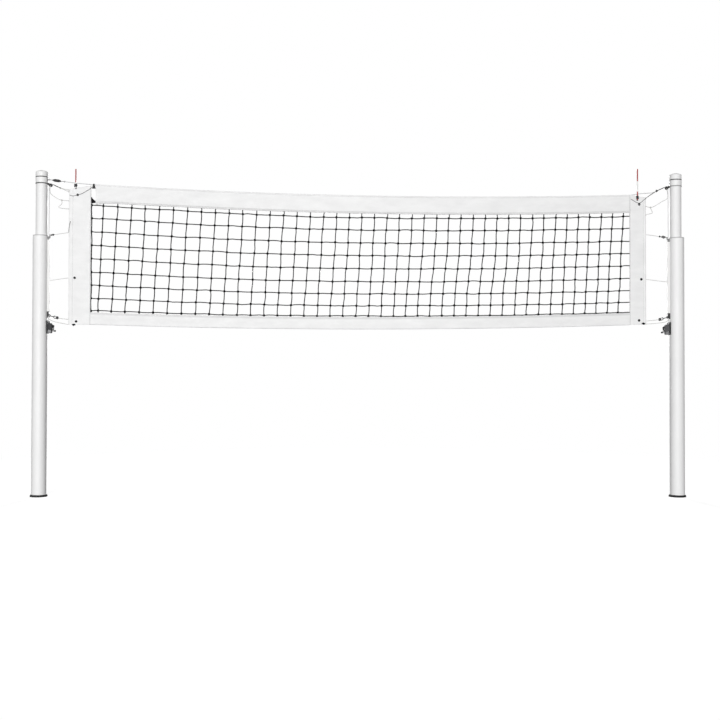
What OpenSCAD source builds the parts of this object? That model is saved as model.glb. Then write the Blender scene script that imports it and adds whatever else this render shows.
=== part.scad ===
// Volleyball net between two telescopic posts, with winches, hooks and short antennas.
// Millimetres, +Z up, +X along the net to the right, the players' side at -Y.
// The origin is on the floor, midway between the two posts.

/* [Posts] */
// Distance between the two lower tubes' axes
post_span = 5000; // [4600:10:9500]
// Outside diameter of the lower tube
lower_d = 115; // [108:1:125]
// Wall of the lower tube
lower_wall = 3; // [2:0.5:3.5]
// Height of the lower tube's top edge above the floor
lower_top_z = 2032; // [1990:1:2080]
// Outside diameter of the upper tube
upper_d = 89; // [80:1:91]
// Wall of the upper tube
upper_wall = 3; // [2:0.5:4]
// Length of upper tube that stays inside the lower tube at full height
insert_len = 450; // [300:10:700]
// Height of the post's top above the floor at full height
post_top_z = 2549; // [2520:1:2640]
// How far the net's pull sets the upper tube off the lower tube's axis
inner_offset = 7.5; // [0:0.5:8.5]

/* [Foot and collar] */
// Height of the rubber foot's flange
foot_flange_h = 12; // [8:1:25]
// How far the rubber foot stands proud of the tube
foot_lip = 2; // [0:0.5:8]
// Depth of the rubber foot's plug in the tube
foot_plug_h = 40; // [20:1:80]
// Height of the collar bush's rim
bush_rim_h = 8; // [5:1:15]
// Depth of the collar bush in the tube
bush_depth = 70; // [40:1:110]
// Height of the guide ring on the upper tube's lower end
guide_ring_h = 45; // [25:1:80]

/* [Post head] */
// Height of the cap, skirt included
cap_h = 99; // [80:1:120]
// Wall of the cap's skirt
cap_wall = 2.5; // [2:0.5:5]
// Radius of the cap's rounded top edge
cap_round = 14; // [6:1:20]
// Height of the cap above its black band
cap_crown_h = 50; // [30:1:60]
// Height of the black hook ring
hook_ring_h = 9; // [6:1:20]
// Wall of the black hook ring
hook_ring_wall = 3; // [2:0.5:5]
// Radius at which the cable runs over the head sheave
sheave_r = 12; // [10:0.5:16]

/* [Winch] */
// Height of the winch drum's axis
drum_z = 1286; // [1250:1:1305]
// Radius of the bare winch drum
drum_r = 7.7; // [6:0.1:8]
// Height of the crank shaft above the drum's axis
crank_rise = 44; // [36:1:46]
// Length of the crank arm between its shaft and its knob
crank_len = 38; // [30:1:40]
// Radius of the crank knob
knob_r = 6.5; // [5:0.5:8]

/* [Cables and hooks] */
// Diameter of the tension cable
cable_d = 5; // [4:0.5:6]
// Distance of the tension cable from the lower tube's surface
cable_standoff = 8.5; // [7:0.5:10]
// Depth of the cable guard off the lower tube's surface
guard_depth = 18; // [15:1:24]
// Wire diameter of the snap hooks
hook_wire_d = 5.2; // [4:0.2:5.6]
// Centre radius of a snap hook's bow
hook_bow_r = 8; // [8:0.5:11]
// Height of the lower hook's eye
low_eye_z = 1410; // [1400:1:1450]
// Diameter of the net's tie cords
tie_d = 4; // [3:0.5:4.5]

/* [Net] */
// Distance from the left post's axis to the net's left edge
left_gap = 221; // [190:1:400]
// Distance from the right post's axis to the net's right edge
right_gap = 243; // [190:1:400]
// Width of the left side band
left_band_w = 172; // [140:1:220]
// Width of the right side band
right_band_w = 130; // [100:1:220]
// Lowest height of the net's top edge
net_top_z = 2358; // [2300:1:2430]
// Lowest height of the net's bottom edge
net_bottom_z = 1311; // [1290:1:1380]
// Radius of the sagging top edge
top_sag_r = 47300; // [40000:100:90000]
// Radius of the sagging bottom edge
bottom_sag_r = 64400; // [50000:100:120000]
// Height of the top band
top_band_h = 142; // [70:1:160]
// Height of the bottom band
bottom_band_h = 95; // [50:1:120]
// Thickness of the bands' fabric
skin = 1; // [0.6:0.1:1.5]
// Clear space between a band's two skins
band_gap = 8.4; // [8:0.1:10]
// Thickness of the net's cords
cord_d = 7.4; // [3:0.2:7.6]
// Number of mesh columns
mesh_cols = 37; // [20:1:37]
// Number of mesh rows
mesh_rows = 8; // [6:1:8]

/* [Antennas] */
// Diameter of the antenna rod
antenna_d = 10; // [8:0.5:12]
// Height of the left antenna's tip
left_antenna_z = 2559; // [2500:1:3200]
// Height of the right antenna's tip
right_antenna_z = 2580; // [2500:1:3200]

/* [Hidden] */

$fn = 48;
run_fit = 0.06;          // radial clearance of a running fit
seat_gap = 0.3;          // gap between soft or threaded pieces and their seats
seat_fit = 0.1;          // clearance of pieces that are bolted or glued together
groove_gap = 0.7;        // clearance of the cable in its sheave's groove
side_clear = 0.5;        // side clearance of wheels between cheeks

// Posts. A local X points from the post's axis to the net.
lower_r = lower_d / 2;
lower_bore_r = lower_r - lower_wall;
upper_r = upper_d / 2;
upper_bore_r = upper_r - upper_wall;
upper_bottom_z = lower_top_z - insert_len;
head_z = post_top_z - cap_h;                 // lower edge of the cap's skirt
crown_z = post_top_z - cap_crown_h;          // black band under the cap's crown
upper_top_z = crown_z - 8;
cap_r = upper_r + cap_wall;
band_h = 7;
foot_r = lower_r + foot_lip;

// Cable line, guard and sheave
cable_r = cable_d / 2;
cable_u = lower_r + cable_standoff;
guard_u = lower_r + guard_depth;
guard_w = 16;
guard_wall = 1.5;
cable_hole_r = cable_r + 1.5;
sheave_u = cable_u + sheave_r;
sheave_z = head_z - hook_ring_h - sheave_r + 4;
sheave_w = 8;
sheave_pin_r = 3;
cable_lead = 3;                              // straight cable below the head sheave
cheek_t = 3;
cheek_side_y = sheave_w / 2 + side_clear + cheek_t;
tie_r = tie_d / 2;
tie_gap = 0.8;                               // gap between a slanting cord's end and what it is tied to
hook_slope = 25;                             // fall of the top hook's line below level
head_run = 20;                               // cable between the head sheave and the top hook's eye

// Snap hook, drawn along its own X with the swivel eye at 0
wire_r = hook_wire_d / 2;
eye_ring_r = 6;
shank_x = 24;
gate_x = 30;
bow_x = 48;
nose_x = bow_x - 4;
apex_x = bow_x + hook_bow_r;
gate_t = 3.4;
gate_pin_r = 1.2;
gate_eye_r = 3.2;

// Eye plates on the post
block_u = cable_u + cable_hole_r + 3;
ear_t = 4;
ear_hole_r = 4;
ear_r = 7;
ear_u = block_u + ear_hole_r + 0.5;
plate_bottom_z = low_eye_z - 13;
plate_top_z = low_eye_z + 33;
collar_block_z = lower_top_z - 26;
collar_block_h = 24;
collar_eye_z = lower_top_z + 8;
collar_ear_r = 6;
low_hook_slope = 16;

// Winch
base_u = lower_r + 4.5;
base_y = [-24, 40];
base_z = [drum_z - 14, drum_z + 86];
drum_u = cable_u + cable_r + drum_r + seat_gap;
drum_half_w = 9;
flange_r = 13;
flange_t = 2;
shaft_r = 4;
cheek_out_y = drum_half_w + side_clear;
housing_y = 32;
drum_end_y = 21;                             // blind end of the drum's shaft
front_cheek_t = 4;
housing_u = base_u + 34;
crank_z = drum_z + crank_rise;
cover_z = drum_z + flange_r + 1.5;           // lower edge of the gear case
crank_y = 20.5;
hub_r = 8;
crank_pin_r = 2.5;
knob_u = housing_u + 11;
knob_len = 12.5;
bolt_r = 4;
bolt_head_r = 6.5;
bolt_head_h = 5.3;
screw_r = 2.5;
screw_head_r = 4;

// Net outline in the post-to-post frame
net_left = -post_span / 2 + left_gap;
net_right = post_span / 2 - right_gap;
left_inner = net_left + left_band_w;
right_inner = net_right - right_band_w;
top_low_x = 750;                             // where the top edge hangs lowest
bottom_low_x = -107;                         // where the bottom edge hangs lowest
half_gap = band_gap / 2;
half_band = half_gap + skin;
hem = 1.5;                                   // folded edge of a band
lap = 15;                                    // depth of the net's edge inside the bands
knot = 4;                                    // chamfer that stands for a knot
edge_steps = 28;
top_band_left = left_inner + 36;
top_band_right = right_inner - 14;
rope_r = 2.75;
function top_z(x) = net_top_z + pow(x - top_low_x, 2) / (2 * top_sag_r);
function bottom_z(x) = net_bottom_z + pow(x - bottom_low_x, 2) / (2 * bottom_sag_r);
function cable_line(x) = top_z(x) - hem - rope_r - seat_gap;
function rope_line(x) = bottom_z(x) + hem + rope_r + seat_gap;
function steps_between(a, b, n) = [for (i = [0:n]) a + (b - a) * i / n];

// Eyelets and antenna clamps: [x inwards from the net's edge, height]
left_eyelets = [[68, top_z(net_left) - 97], [48, 1707], [62, 1366]];
right_eyelets = [[54, top_z(net_right) - 80], [38, 1710], [57, 1386]];
eyelet_hole_r = 3;
eyelet_barrel_r = 5;
eyelet_rim_r = 10;
left_antenna_x = net_left + 55;
right_antenna_x = net_right - 69;
left_clamp_z = 2418;
right_clamp_z = 2344;
clamp_h = 24;
clamp_wall = 2.7;
clamp_round = 5;
antenna_y = -half_band - 3 - antenna_d / 2;

// Turnbuckle between the left head and the net's cable
screw_eye_z = head_z + 27;
buckle_slope = 7.3;
buckle_start = 26;
buckle_len = 67;
buckle_end = buckle_start + buckle_len + 28;
rod_r = 2.2;
buckle_u = cap_r + inner_offset + 11;

// Swivel eye of the top hook
top_eye_u = sheave_u + sheave_r * sin(hook_slope) + head_run * cos(hook_slope);
top_eye_z = sheave_z + sheave_r * cos(hook_slope) - head_run * sin(hook_slope);

// The top hook's bow, seen from its apex: a cord's end lies against it, or this far out, at this turn
function at_top_bow(turn, out = 0) =
  let (reach = hook_bow_r + wire_r + tie_gap + out, x = bow_x + reach * cos(turn))
  [top_eye_u + x * cos(hook_slope), -reach * sin(turn), top_eye_z - x * sin(hook_slope)];

// Routes, in the post's local frame, as [inwards, Y, height]; bow cords as [turn, height at the net]
face_y = -half_band - tie_r - seat_gap;      // a cord on the face of a band
rim_y = face_y - 1;                          // a cord over the rim of an eyelet
left_slack_cord = [[74, -9.8, 2394], [86, -8, 2359], [153, -4, 2318]];
left_slack_loop = [[166, -3.2, 2314], [164, -4, 2285], [140, -3, 2262], [170, -2, 2251]];
left_bow_cords = [[12, 2396], [-12, 2382]];
left_drape = [[226, face_y, 2356], [254, rim_y, 2348], [324, rim_y, 2368], [371, face_y, 2395],
  [409, face_y, 2422]];
right_slack_cord = [[74, -9.8, 2354], [118, -8, 2324], [197, -4, 2279]];
right_slack_loop = [[209, -2.8, 2278], [192, -4, 2240], [199, -3, 2232]];
right_bow_cords = [[-32, 2352]];
right_drape = [at_top_bow(25), [197, face_y, 2386], [246, rim_y, 2350], [299, rim_y, 2312],
  [363, face_y, 2343]];
left_low_cord = [[68, -15.3, 1402], [80, -18, 1380], [120, -20, 1362], [190, -9, 1348]];
right_low_cord = [[68, -15.3, 1402], [80, -17, 1380], [120, -17, 1368], [200, -9, 1360]];

module at_left() { translate([-post_span / 2, 0, 0]) children(); }
module at_right() { translate([post_span / 2, 0, 0]) mirror([1, 0, 0]) children(); }
module at_upper() { translate([inner_offset, 0, 0]) children(); }
module along_x() { rotate([0, 90, 0]) children(); }
module along_y() { rotate([-90, 0, 0]) children(); }

// A flat shape drawn in X and Z, extruded from y0 to y1
module slab(y0, y1) {
  translate([0, y1, 0]) rotate([90, 0, 0]) linear_extrude(y1 - y0) children();
}

module rod_between(a, b, r) {
  d = b - a;
  translate(a) rotate([0, acos(d[2] / norm(d)), atan2(d[1], d[0])]) cylinder(h = norm(d), r = r);
}

// A round cord swept through its points as one closed solid; no point's heading is along Y
function unit(v) = v / norm(v);
function heading(p, i) = unit((i > 0 ? unit(p[i] - p[i - 1]) : [0, 0, 0])
  + (i < len(p) - 1 ? unit(p[i + 1] - p[i]) : [0, 0, 0]));
module cord(p, r, sides = 8) {
  n = len(p);
  rings = [for (i = [0:n - 1]) let (t = heading(p, i), a = unit(cross([0, 1, 0], t)), b = cross(a, t))
    for (k = [0:sides - 1]) p[i] + r * cos(360 * k / sides) * a + r * sin(360 * k / sides) * b];
  walls = [for (i = [0:n - 2]) for (k = [0:sides - 1])
    let (c = i * sides + k, d = i * sides + (k + 1) % sides)
    each [[c, d, c + sides], [d, d + sides, c + sides]]];
  caps = [for (k = [1:sides - 2]) each
    [[0, k + 1, k], [(n - 1) * sides, (n - 1) * sides + k, (n - 1) * sides + k + 1]]];
  polyhedron(rings, concat(walls, caps));
}

// Rubber foot with a plug in the tube
module foot() {
  color("#161616") difference() {
    union() {
      cylinder(h = foot_flange_h, r = foot_r);
      cylinder(h = foot_flange_h + foot_plug_h, r = lower_bore_r - seat_fit);
    }
    translate([0, 0, foot_flange_h]) cylinder(h = foot_plug_h + 1, r = lower_bore_r - 8);
  }
}

// Where the winch base and the lower eye plate are bolted to the tube: [y, z]
bolt_places = [for (z = [base_z[0] + 9, base_z[1] - 9]) for (y = [base_y[0] + 9, base_y[1] - 8.5]) [y, z]];
screw_places = [for (y = [-8.5, 8.5]) [y, (plate_bottom_z + plate_top_z) / 2]];

module lower_tube() {
  color("#f2f2f2") difference() {
    translate([0, 0, foot_flange_h]) cylinder(h = lower_top_z - foot_flange_h, r = lower_r);
    cylinder(h = lower_top_z + 1, r = lower_bore_r);
    for (p = bolt_places) translate([20, p[0], p[1]]) along_x() cylinder(h = lower_r, r = bolt_r);
    for (p = screw_places) translate([20, p[0], p[1]]) along_x() cylinder(h = lower_r, r = screw_r);
    translate([0, 20, lower_top_z - 42]) along_y() cylinder(h = lower_r, r = bolt_r);
  }
}

// Bush with a rim on the tube's edge; its bore lies off the tube's axis
module collar_bush() {
  color("#f2f2f2") difference() {
    union() {
      translate([0, 0, lower_top_z - bush_depth]) cylinder(h = bush_depth, r = lower_bore_r - seat_fit);
      translate([0, 0, lower_top_z]) rotate_extrude() union() {
        square([lower_r - 4, bush_rim_h]);
        square([lower_r, bush_rim_h - 4]);
        translate([lower_r - 4, bush_rim_h - 4]) circle(r = 4);
      }
    }
    at_upper() translate([0, 0, lower_top_z - bush_depth - 1])
      cylinder(h = bush_depth + bush_rim_h + 2, r = upper_r + run_fit);
    translate([0, 20, lower_top_z - 42]) along_y() cylinder(h = lower_r, r = bolt_r);
  }
}

module upper_tube() {
  color("#f2f2f2") at_upper() difference() {
    translate([0, 0, upper_bottom_z + 3]) cylinder(h = upper_top_z - upper_bottom_z - 3, r = upper_r);
    cylinder(h = post_top_z, r = upper_bore_r);
  }
}

module guide_ring() {
  color("#dddddd") difference() {
    translate([0, 0, upper_bottom_z]) cylinder(h = guide_ring_h, r = lower_bore_r - run_fit);
    at_upper() translate([0, 0, upper_bottom_z + 3]) cylinder(h = guide_ring_h, r = upper_r + seat_fit);
    at_upper() cylinder(h = post_top_z, r = upper_bore_r);
  }
}

// Skirted cap with a rounded crown and a groove for its black band
module cap() {
  crown = 6;
  dome_r = (pow(cap_r - cap_round, 2) + pow(crown, 2)) / (2 * crown);
  color("#f4f4f4") at_upper() translate([0, 0, head_z]) rotate_extrude($fn = 96) difference() {
    intersection() {
      union() {
        square([cap_r - cap_round, cap_h]);
        square([cap_r, cap_h - cap_round - crown]);
        translate([cap_r - cap_round, cap_h - cap_round - crown]) circle(r = cap_round);
      }
      union() {
        square([cap_r, cap_h - cap_round]);
        intersection() {
          translate([0, cap_h - dome_r]) circle(r = dome_r, $fn = 400);
          square([cap_r, cap_h]);
        }
      }
    }
    translate([-1, -1]) square([upper_r + seat_fit + 1, upper_top_z - head_z + 1]);
    translate([cap_r - 2, cap_h - cap_crown_h - band_h]) square([5, band_h]);
  }
}

module cap_band() {
  color("#1a1a1a") at_upper() translate([0, 0, crown_z - band_h]) difference() {
    cylinder(h = band_h, r = cap_r + 0.3);
    translate([0, 0, -1]) cylinder(h = band_h + 2, r = cap_r - 2);
  }
}

// Ring round the upper tube with two cheeks that carry the head sheave
module hook_ring() {
  z0 = head_z - hook_ring_h;
  color("#151515") difference() {
    union() {
      at_upper() translate([0, 0, z0]) cylinder(h = hook_ring_h, r = upper_r + hook_ring_wall);
      for (s = [-1, 1]) {
        y = s * (sheave_w / 2 + side_clear + cheek_t / 2);
        slab(y - cheek_t / 2, y + cheek_t / 2) union() {
          polygon([[upper_r, z0 + hook_ring_h], [sheave_u - 16, z0 + hook_ring_h],
            [sheave_u + 7, sheave_z + 6], [sheave_u + 3, sheave_z - 8],
            [sheave_u - 5, sheave_z - 8], [upper_r, z0]]);
          translate([sheave_u, sheave_z]) circle(r = 9);
        }
      }
      translate([sheave_u, -sheave_w / 2 - side_clear - cheek_t - 1, sheave_z]) along_y()
        cylinder(h = sheave_w + 2 * side_clear + 2 * cheek_t + 2, r = sheave_pin_r);
    }
    at_upper() cylinder(h = post_top_z, r = upper_r + seat_fit);
  }
}

module sheave() {
  color("#3a3a3a") translate([sheave_u, 0, sheave_z]) rotate([90, 0, 0]) rotate_extrude() difference() {
    translate([sheave_pin_r + run_fit, -sheave_w / 2])
      square([sheave_r + 1.5 - sheave_pin_r - run_fit, sheave_w]);
    translate([sheave_r, 0]) circle(r = cable_r + groove_gap);
  }
}

// Snap hook: swivel eye turned about the shank, spine, bow and a forked lug for the gate
module snap_hook(eye_turn) {
  color("#141414") union() {
    rotate([eye_turn, 0, 0]) rotate_extrude() translate([eye_ring_r, 0]) circle(r = wire_r);
    translate([eye_ring_r + 1, 0, 0]) along_x() cylinder(h = shank_x - eye_ring_r, r = 3.2);
    rod_between([shank_x, 0, 0], [gate_x, -hook_bow_r, 0], wire_r);
    translate([gate_x, -hook_bow_r, 0]) sphere(r = wire_r);
    rod_between([gate_x, -hook_bow_r, 0], [bow_x, -hook_bow_r, 0], wire_r);
    translate([bow_x, 0, 0]) rotate([0, 0, -90]) rotate_extrude(angle = 180)
      translate([hook_bow_r, 0]) circle(r = wire_r);
    rod_between([bow_x, hook_bow_r, 0], [nose_x, hook_bow_r, 0], wire_r);
    for (s = [-1, 1]) translate([0, 0, s * (gate_t / 2 + 0.95) - 0.75]) linear_extrude(1.5) union() {
      polygon([[shank_x - 2, 2.5], [shank_x + 4, -1], [gate_x + 2.5, hook_bow_r - 2],
        [gate_x - 2.5, hook_bow_r + 2]]);
      translate([gate_x, hook_bow_r]) circle(r = gate_eye_r);
    }
    translate([gate_x, hook_bow_r, -gate_t / 2 - 1.7]) cylinder(h = gate_t + 3.4, r = gate_pin_r);
  }
}

module snap_gate() {
  tip = nose_x - 0.4;
  color("#2a2a2a") translate([0, 0, -gate_t / 2]) difference() {
    linear_extrude(gate_t) union() {
      translate([gate_x, hook_bow_r]) circle(r = gate_eye_r);
      translate([gate_x, hook_bow_r - 2]) square([tip - gate_x, 4]);
    }
    translate([gate_x, hook_bow_r, -1]) cylinder(h = gate_t + 2, r = gate_pin_r + run_fit);
  }
}

module as_top_hook() {
  translate([top_eye_u, 0, top_eye_z]) rotate([0, hook_slope, 0]) children();
}
module as_bottom_hook() {
  translate([ear_u, 0, low_eye_z]) rotate([0, low_hook_slope, 0]) translate([eye_ring_r, 0, 0])
    rotate([90, 0, 0]) children();
}

// Block on the tube with a bore for the cable and an upright ear with an eye
module eye_block(z0, z1, eye_z, hole_r, ear_radius, half_w) {
  ear_foot_z = min(z1 - 10, eye_z - ear_radius);
  difference() {
    union() {
      translate([40, -half_w, z0]) cube([block_u - 40, 2 * half_w, z1 - z0]);
      slab(-ear_t / 2, ear_t / 2) union() {
        translate([block_u - 2, ear_foot_z]) square([ear_u - block_u + 2, eye_z + ear_radius - ear_foot_z]);
        translate([ear_u, eye_z]) circle(r = ear_radius);
      }
    }
    cylinder(h = post_top_z, r = lower_r + seat_fit);
    translate([cable_u, 0, z0 - 1]) cylinder(h = z1 - z0 + 2, r = cable_hole_r);
    translate([ear_u, -ear_t, eye_z]) along_y() cylinder(h = 2 * ear_t, r = hole_r);
  }
}

module eye_plate() {
  color("#141414") difference() {
    eye_block(plate_bottom_z, plate_top_z, low_eye_z, ear_hole_r, ear_r, 13);
    for (p = screw_places) translate([40, p[0], p[1]]) along_x() cylinder(h = 60, r = screw_r);
  }
}

module collar_eye() {
  color("#e8e8e8")
    eye_block(collar_block_z, collar_block_z + collar_block_h, collar_eye_z, 3, collar_ear_r, 10);
}

// Channel that covers the cable between the collar eye and the lower eye plate
module cable_guard() {
  h = collar_block_z - plate_top_z;
  color("#ececec") translate([0, 0, plate_top_z]) difference() {
    translate([40, -guard_w / 2, 0]) cube([guard_u - 40, guard_w, h]);
    translate([39, -guard_w / 2 + guard_wall, -1])
      cube([guard_u - guard_wall - 39, guard_w - 2 * guard_wall, h + 2]);
    translate([0, 0, -1]) cylinder(h = h + 2, r = lower_r + seat_fit);
  }
}

// Saddle plate between the tube and the winch
module winch_base() {
  color("#121212") difference() {
    translate([40, base_y[0], base_z[0]])
      cube([base_u - 40, base_y[1] - base_y[0], base_z[1] - base_z[0]]);
    cylinder(h = post_top_z, r = lower_r + seat_fit);
    for (p = bolt_places) translate([20, p[0], p[1]]) along_x() cylinder(h = 80, r = bolt_r);
  }
}

module gear_outline() {
  polygon([[base_u, cover_z], [housing_u, cover_z], [housing_u, crank_z + 6],
    [housing_u - 12, crank_z + 24], [base_u, crank_z + 24]]);
}

// One casting: the closed gear case behind the cable, its front cheek, the bridge that joins
// the two on the net's side of the cable, and the bearing leg of the overhung drum
module winch_housing() {
  bridge_u = cable_u + cable_hole_r + 4;
  color("#8c8f92") difference() {
    union() {
      slab(cheek_out_y, housing_y) gear_outline();
      slab(-cheek_out_y - front_cheek_t, -cheek_out_y) gear_outline();
      slab(-cheek_out_y - front_cheek_t, housing_y)
        translate([bridge_u, crank_z - 14]) square([housing_u - 12 - bridge_u, 38]);
      slab(cheek_out_y, drum_end_y + 3) polygon([[base_u, drum_z - 12], [drum_u + 12, drum_z - 12],
        [housing_u, drum_z + 12], [housing_u, cover_z + 2], [base_u, cover_z + 2]]);
      translate([housing_u - 10, crank_y, crank_z]) along_x() cylinder(h = 12, r = hub_r + 2);
    }
    translate([housing_u - 22, crank_y, crank_z]) along_x() cylinder(h = 40, r = shaft_r + run_fit);
    translate([drum_u, cheek_out_y - 1, drum_z]) along_y()
      cylinder(h = drum_end_y - cheek_out_y + 2, r = shaft_r + run_fit);
  }
}

module winch_drum() {
  color("#a9abad") translate([drum_u, 0, drum_z]) union() {
    translate([0, -drum_half_w, 0]) along_y() cylinder(h = 2 * drum_half_w, r = drum_r);
    for (y = [-drum_half_w, drum_half_w - flange_t]) translate([0, y, 0]) along_y()
      cylinder(h = flange_t, r = flange_r);
    translate([0, -drum_half_w - 2, 0]) along_y() cylinder(h = drum_half_w + 2 + drum_end_y, r = shaft_r);
  }
}

module crank() {
  hub_u = housing_u + 2.5;
  color("#101010") union() {
    translate([housing_u - 20, crank_y, crank_z]) along_x() cylinder(h = 32, r = shaft_r);
    translate([hub_u, crank_y, crank_z]) along_x() cylinder(h = 8, r = hub_r);
    slab(crank_y - 5, crank_y + 5) polygon([[hub_u, crank_z - 6], [hub_u + 7, crank_z - 4],
      [knob_u - 1, crank_z - crank_len - 5], [knob_u - 6, crank_z - crank_len - 6]]);
    translate([knob_u - 4, crank_y, crank_z - crank_len]) along_x() cylinder(h = 13, r = crank_pin_r);
  }
}

module crank_knob() {
  color("#161616") translate([knob_u - 0.5, crank_y, crank_z - crank_len]) along_x() difference() {
    rotate_extrude() union() {
      square([knob_r - 2, knob_len]);
      translate([0, 2]) square([knob_r, knob_len - 4]);
      for (z = [2, knob_len - 2]) translate([knob_r - 2, z]) circle(r = 2);
    }
    translate([0, 0, -1]) cylinder(h = 11, r = crank_pin_r + run_fit);
  }
}

// Bolts of the winch base, screws of the eye plate and the collar's lock screw
module post_screw_set() {
  color("#9a9c9e") {
    for (p = bolt_places) {
      translate([base_u, p[0], p[1]]) along_x() cylinder(h = bolt_head_h, r = bolt_head_r, $fn = 6);
      translate([50, p[0], p[1]]) along_x() cylinder(h = base_u - 50 + 1, r = bolt_r - seat_fit);
    }
    for (p = screw_places) {
      translate([block_u, p[0], p[1]]) along_x() cylinder(h = 3, r = screw_head_r);
      translate([lower_bore_r, p[0], p[1]]) along_x()
        cylinder(h = block_u - lower_bore_r + 1, r = screw_r - seat_fit);
    }
    translate([0, upper_r + 1, lower_top_z - 42]) along_y()
      cylinder(h = lower_r - upper_r, r = bolt_r - seat_fit);
    translate([0, lower_r, lower_top_z - 42]) along_y()
      cylinder(h = bolt_head_h, r = bolt_head_r, $fn = 6);
  }
}

module tension_cable() {
  color("#d8dadc") translate([cable_u, 0, drum_z]) cylinder(h = sheave_z - cable_lead - drum_z, r = cable_r);
}

// Cable over the sheave and on to the top hook's swivel eye
module cable_over_sheave() {
  turns = steps_between(180, 90 - hook_slope, 7);
  end = [top_eye_u, 0, top_eye_z]
    - (eye_ring_r + wire_r + seat_gap) * [cos(hook_slope), 0, -sin(hook_slope)];
  cord(concat([[cable_u, 0, sheave_z - cable_lead]],
    [for (t = turns) [sheave_u + sheave_r * cos(t), 0, sheave_z + sheave_r * sin(t)]], [end]), cable_r);
}

// Cords that hang between the post's head and the net's top corner
module top_ties(edge, slack_cord, slack_end_z, slack_loop, loop_end_z, bow_cords, drape) {
  color("#e6e6e6") {
    cable_over_sheave();
    cord(concat([[sheave_u, -cheek_side_y - tie_r - seat_gap, sheave_z - sheave_pin_r - seat_gap]],
      slack_cord, [[edge - tie_gap, 0, slack_end_z]]), tie_r);
    cord(concat(slack_loop, [[edge - tie_gap, 0, loop_end_z]]), tie_r);
    for (c = bow_cords)
      cord([at_top_bow(c[0]), at_top_bow(c[0], 6), [edge - tie_gap, 0, c[1]]], tie_r);
    cord(drape, tie_r);
  }
}

// Cords between the post's fittings and the net's side
module side_ties(gap, collar_tie_z, mid_tie_z, low_cord, low_end_z) {
  edge = gap - tie_gap;
  run = eye_ring_r + apex_x + wire_r + tie_gap;
  hook_end = [ear_u + run * cos(low_hook_slope), 0, low_eye_z - run * sin(low_hook_slope)];
  color("#e6e6e6") {
    cord([[ear_u + collar_ear_r + seat_gap, 0, collar_eye_z + 2], [ear_u + 20, 0, collar_eye_z + 4],
      [edge, 0, collar_tie_z]], tie_r);
    cord([[guard_u + seat_gap, 0, mid_tie_z - 20], [edge, 0, mid_tie_z]], tie_r);
    cord([hook_end, [edge, 0, low_eye_z - 29]], tie_r);
    cord(concat(low_cord, [[edge, 0, low_end_z]]), tie_r);
  }
}

module left_buckle() {
  at_left() translate([buckle_u, 0, screw_eye_z]) rotate([0, buckle_slope, 0]) children();
}

module turnbuckle_body() {
  color("#161616") left_buckle() translate([buckle_start, 0, 0]) along_x() rotate_extrude() difference() {
    polygon([[0, 0], [5, 0], [6, 3], [11, 18], [11, buckle_len - 18], [6, buckle_len - 3],
      [5, buckle_len], [0, buckle_len]]);
    square([rod_r + run_fit, 14]);
    translate([0, buckle_len - 14]) square([rod_r + run_fit, 15]);
  }
}

// Screw eye on the cap, and the two threaded rods of the turnbuckle
module turnbuckle_ends() {
  color("#77797b") union() {
    at_left() translate([cap_r + inner_offset, 0, screw_eye_z]) along_x() cylinder(h = 2, r = 4.5);
    at_left() translate([cap_r + inner_offset, 0, screw_eye_z]) along_x() cylinder(h = 9, r = rod_r);
    left_buckle() translate([1, 0, 0]) rotate([90, 0, 0]) rotate_extrude()
      translate([4, 0]) circle(r = 1.8);
    left_buckle() translate([4, 0, 0]) along_x() cylinder(h = buckle_start + 6, r = rod_r);
  }
  color("#77797b") left_buckle() union() {
    translate([buckle_start + buckle_len - 10, 0, 0]) along_x()
      cylinder(h = buckle_end - buckle_start - buckle_len + 4, r = rod_r);
    translate([buckle_end - 1, 0, 0]) rotate([90, 0, 0]) rotate_extrude()
      translate([4, 0]) circle(r = 1.8);
  }
}

// Net: one flat sheet of square meshes, its holes chamfered where cords are knotted, with the
// gathered corner between the left side band and the top band
mesh_left = left_inner - 10;
mesh_right = right_inner + 10;
function mesh_x(c) = mesh_left + (mesh_right - mesh_left) * c / mesh_cols;
function mesh_z(c, r) = let (x = mesh_x(c), low = bottom_z(x) + bottom_band_h - lap,
  high = top_z(x) - top_band_h + lap) low + (high - low) * r / mesh_rows;
module mesh_hole(c, r) {
  h = cord_d / 2;
  polygon([[mesh_x(c) + h + knot, mesh_z(c, r) + h], [mesh_x(c + 1) - h - knot, mesh_z(c + 1, r) + h],
    [mesh_x(c + 1) - h, mesh_z(c + 1, r) + h + knot],
    [mesh_x(c + 1) - h, mesh_z(c + 1, r + 1) - h - knot],
    [mesh_x(c + 1) - h - knot, mesh_z(c + 1, r + 1) - h], [mesh_x(c) + h + knot, mesh_z(c, r + 1) - h],
    [mesh_x(c) + h, mesh_z(c, r + 1) - h - knot], [mesh_x(c) + h, mesh_z(c, r) + h + knot]]);
}
module net_mesh() {
  h = cord_d / 2;
  corner_z = top_z(left_inner) - top_band_h;
  color("#1b1b1b") slab(-h, h) union() {
    difference() {
      polygon(concat([for (c = [0:mesh_cols]) [mesh_x(c), mesh_z(c, 0) - h]],
        [for (c = [mesh_cols:-1:0]) [mesh_x(c), mesh_z(c, mesh_rows) + h]]));
      for (c = [0:mesh_cols - 1]) for (r = [0:mesh_rows - 1]) mesh_hole(c, r);
    }
    polygon([[mesh_left, corner_z - 7], [left_inner + 38, corner_z - 7], [left_inner + 1, corner_z + 51],
      [mesh_left, corner_z + 51]]);
  }
}

module top_strip(drop) {
  xs = steps_between(top_band_left, top_band_right, edge_steps);
  polygon(concat([for (x = xs) [x, top_z(x)]],
    [for (i = [edge_steps:-1:0]) [xs[i], top_z(xs[i]) - drop]]));
}

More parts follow.
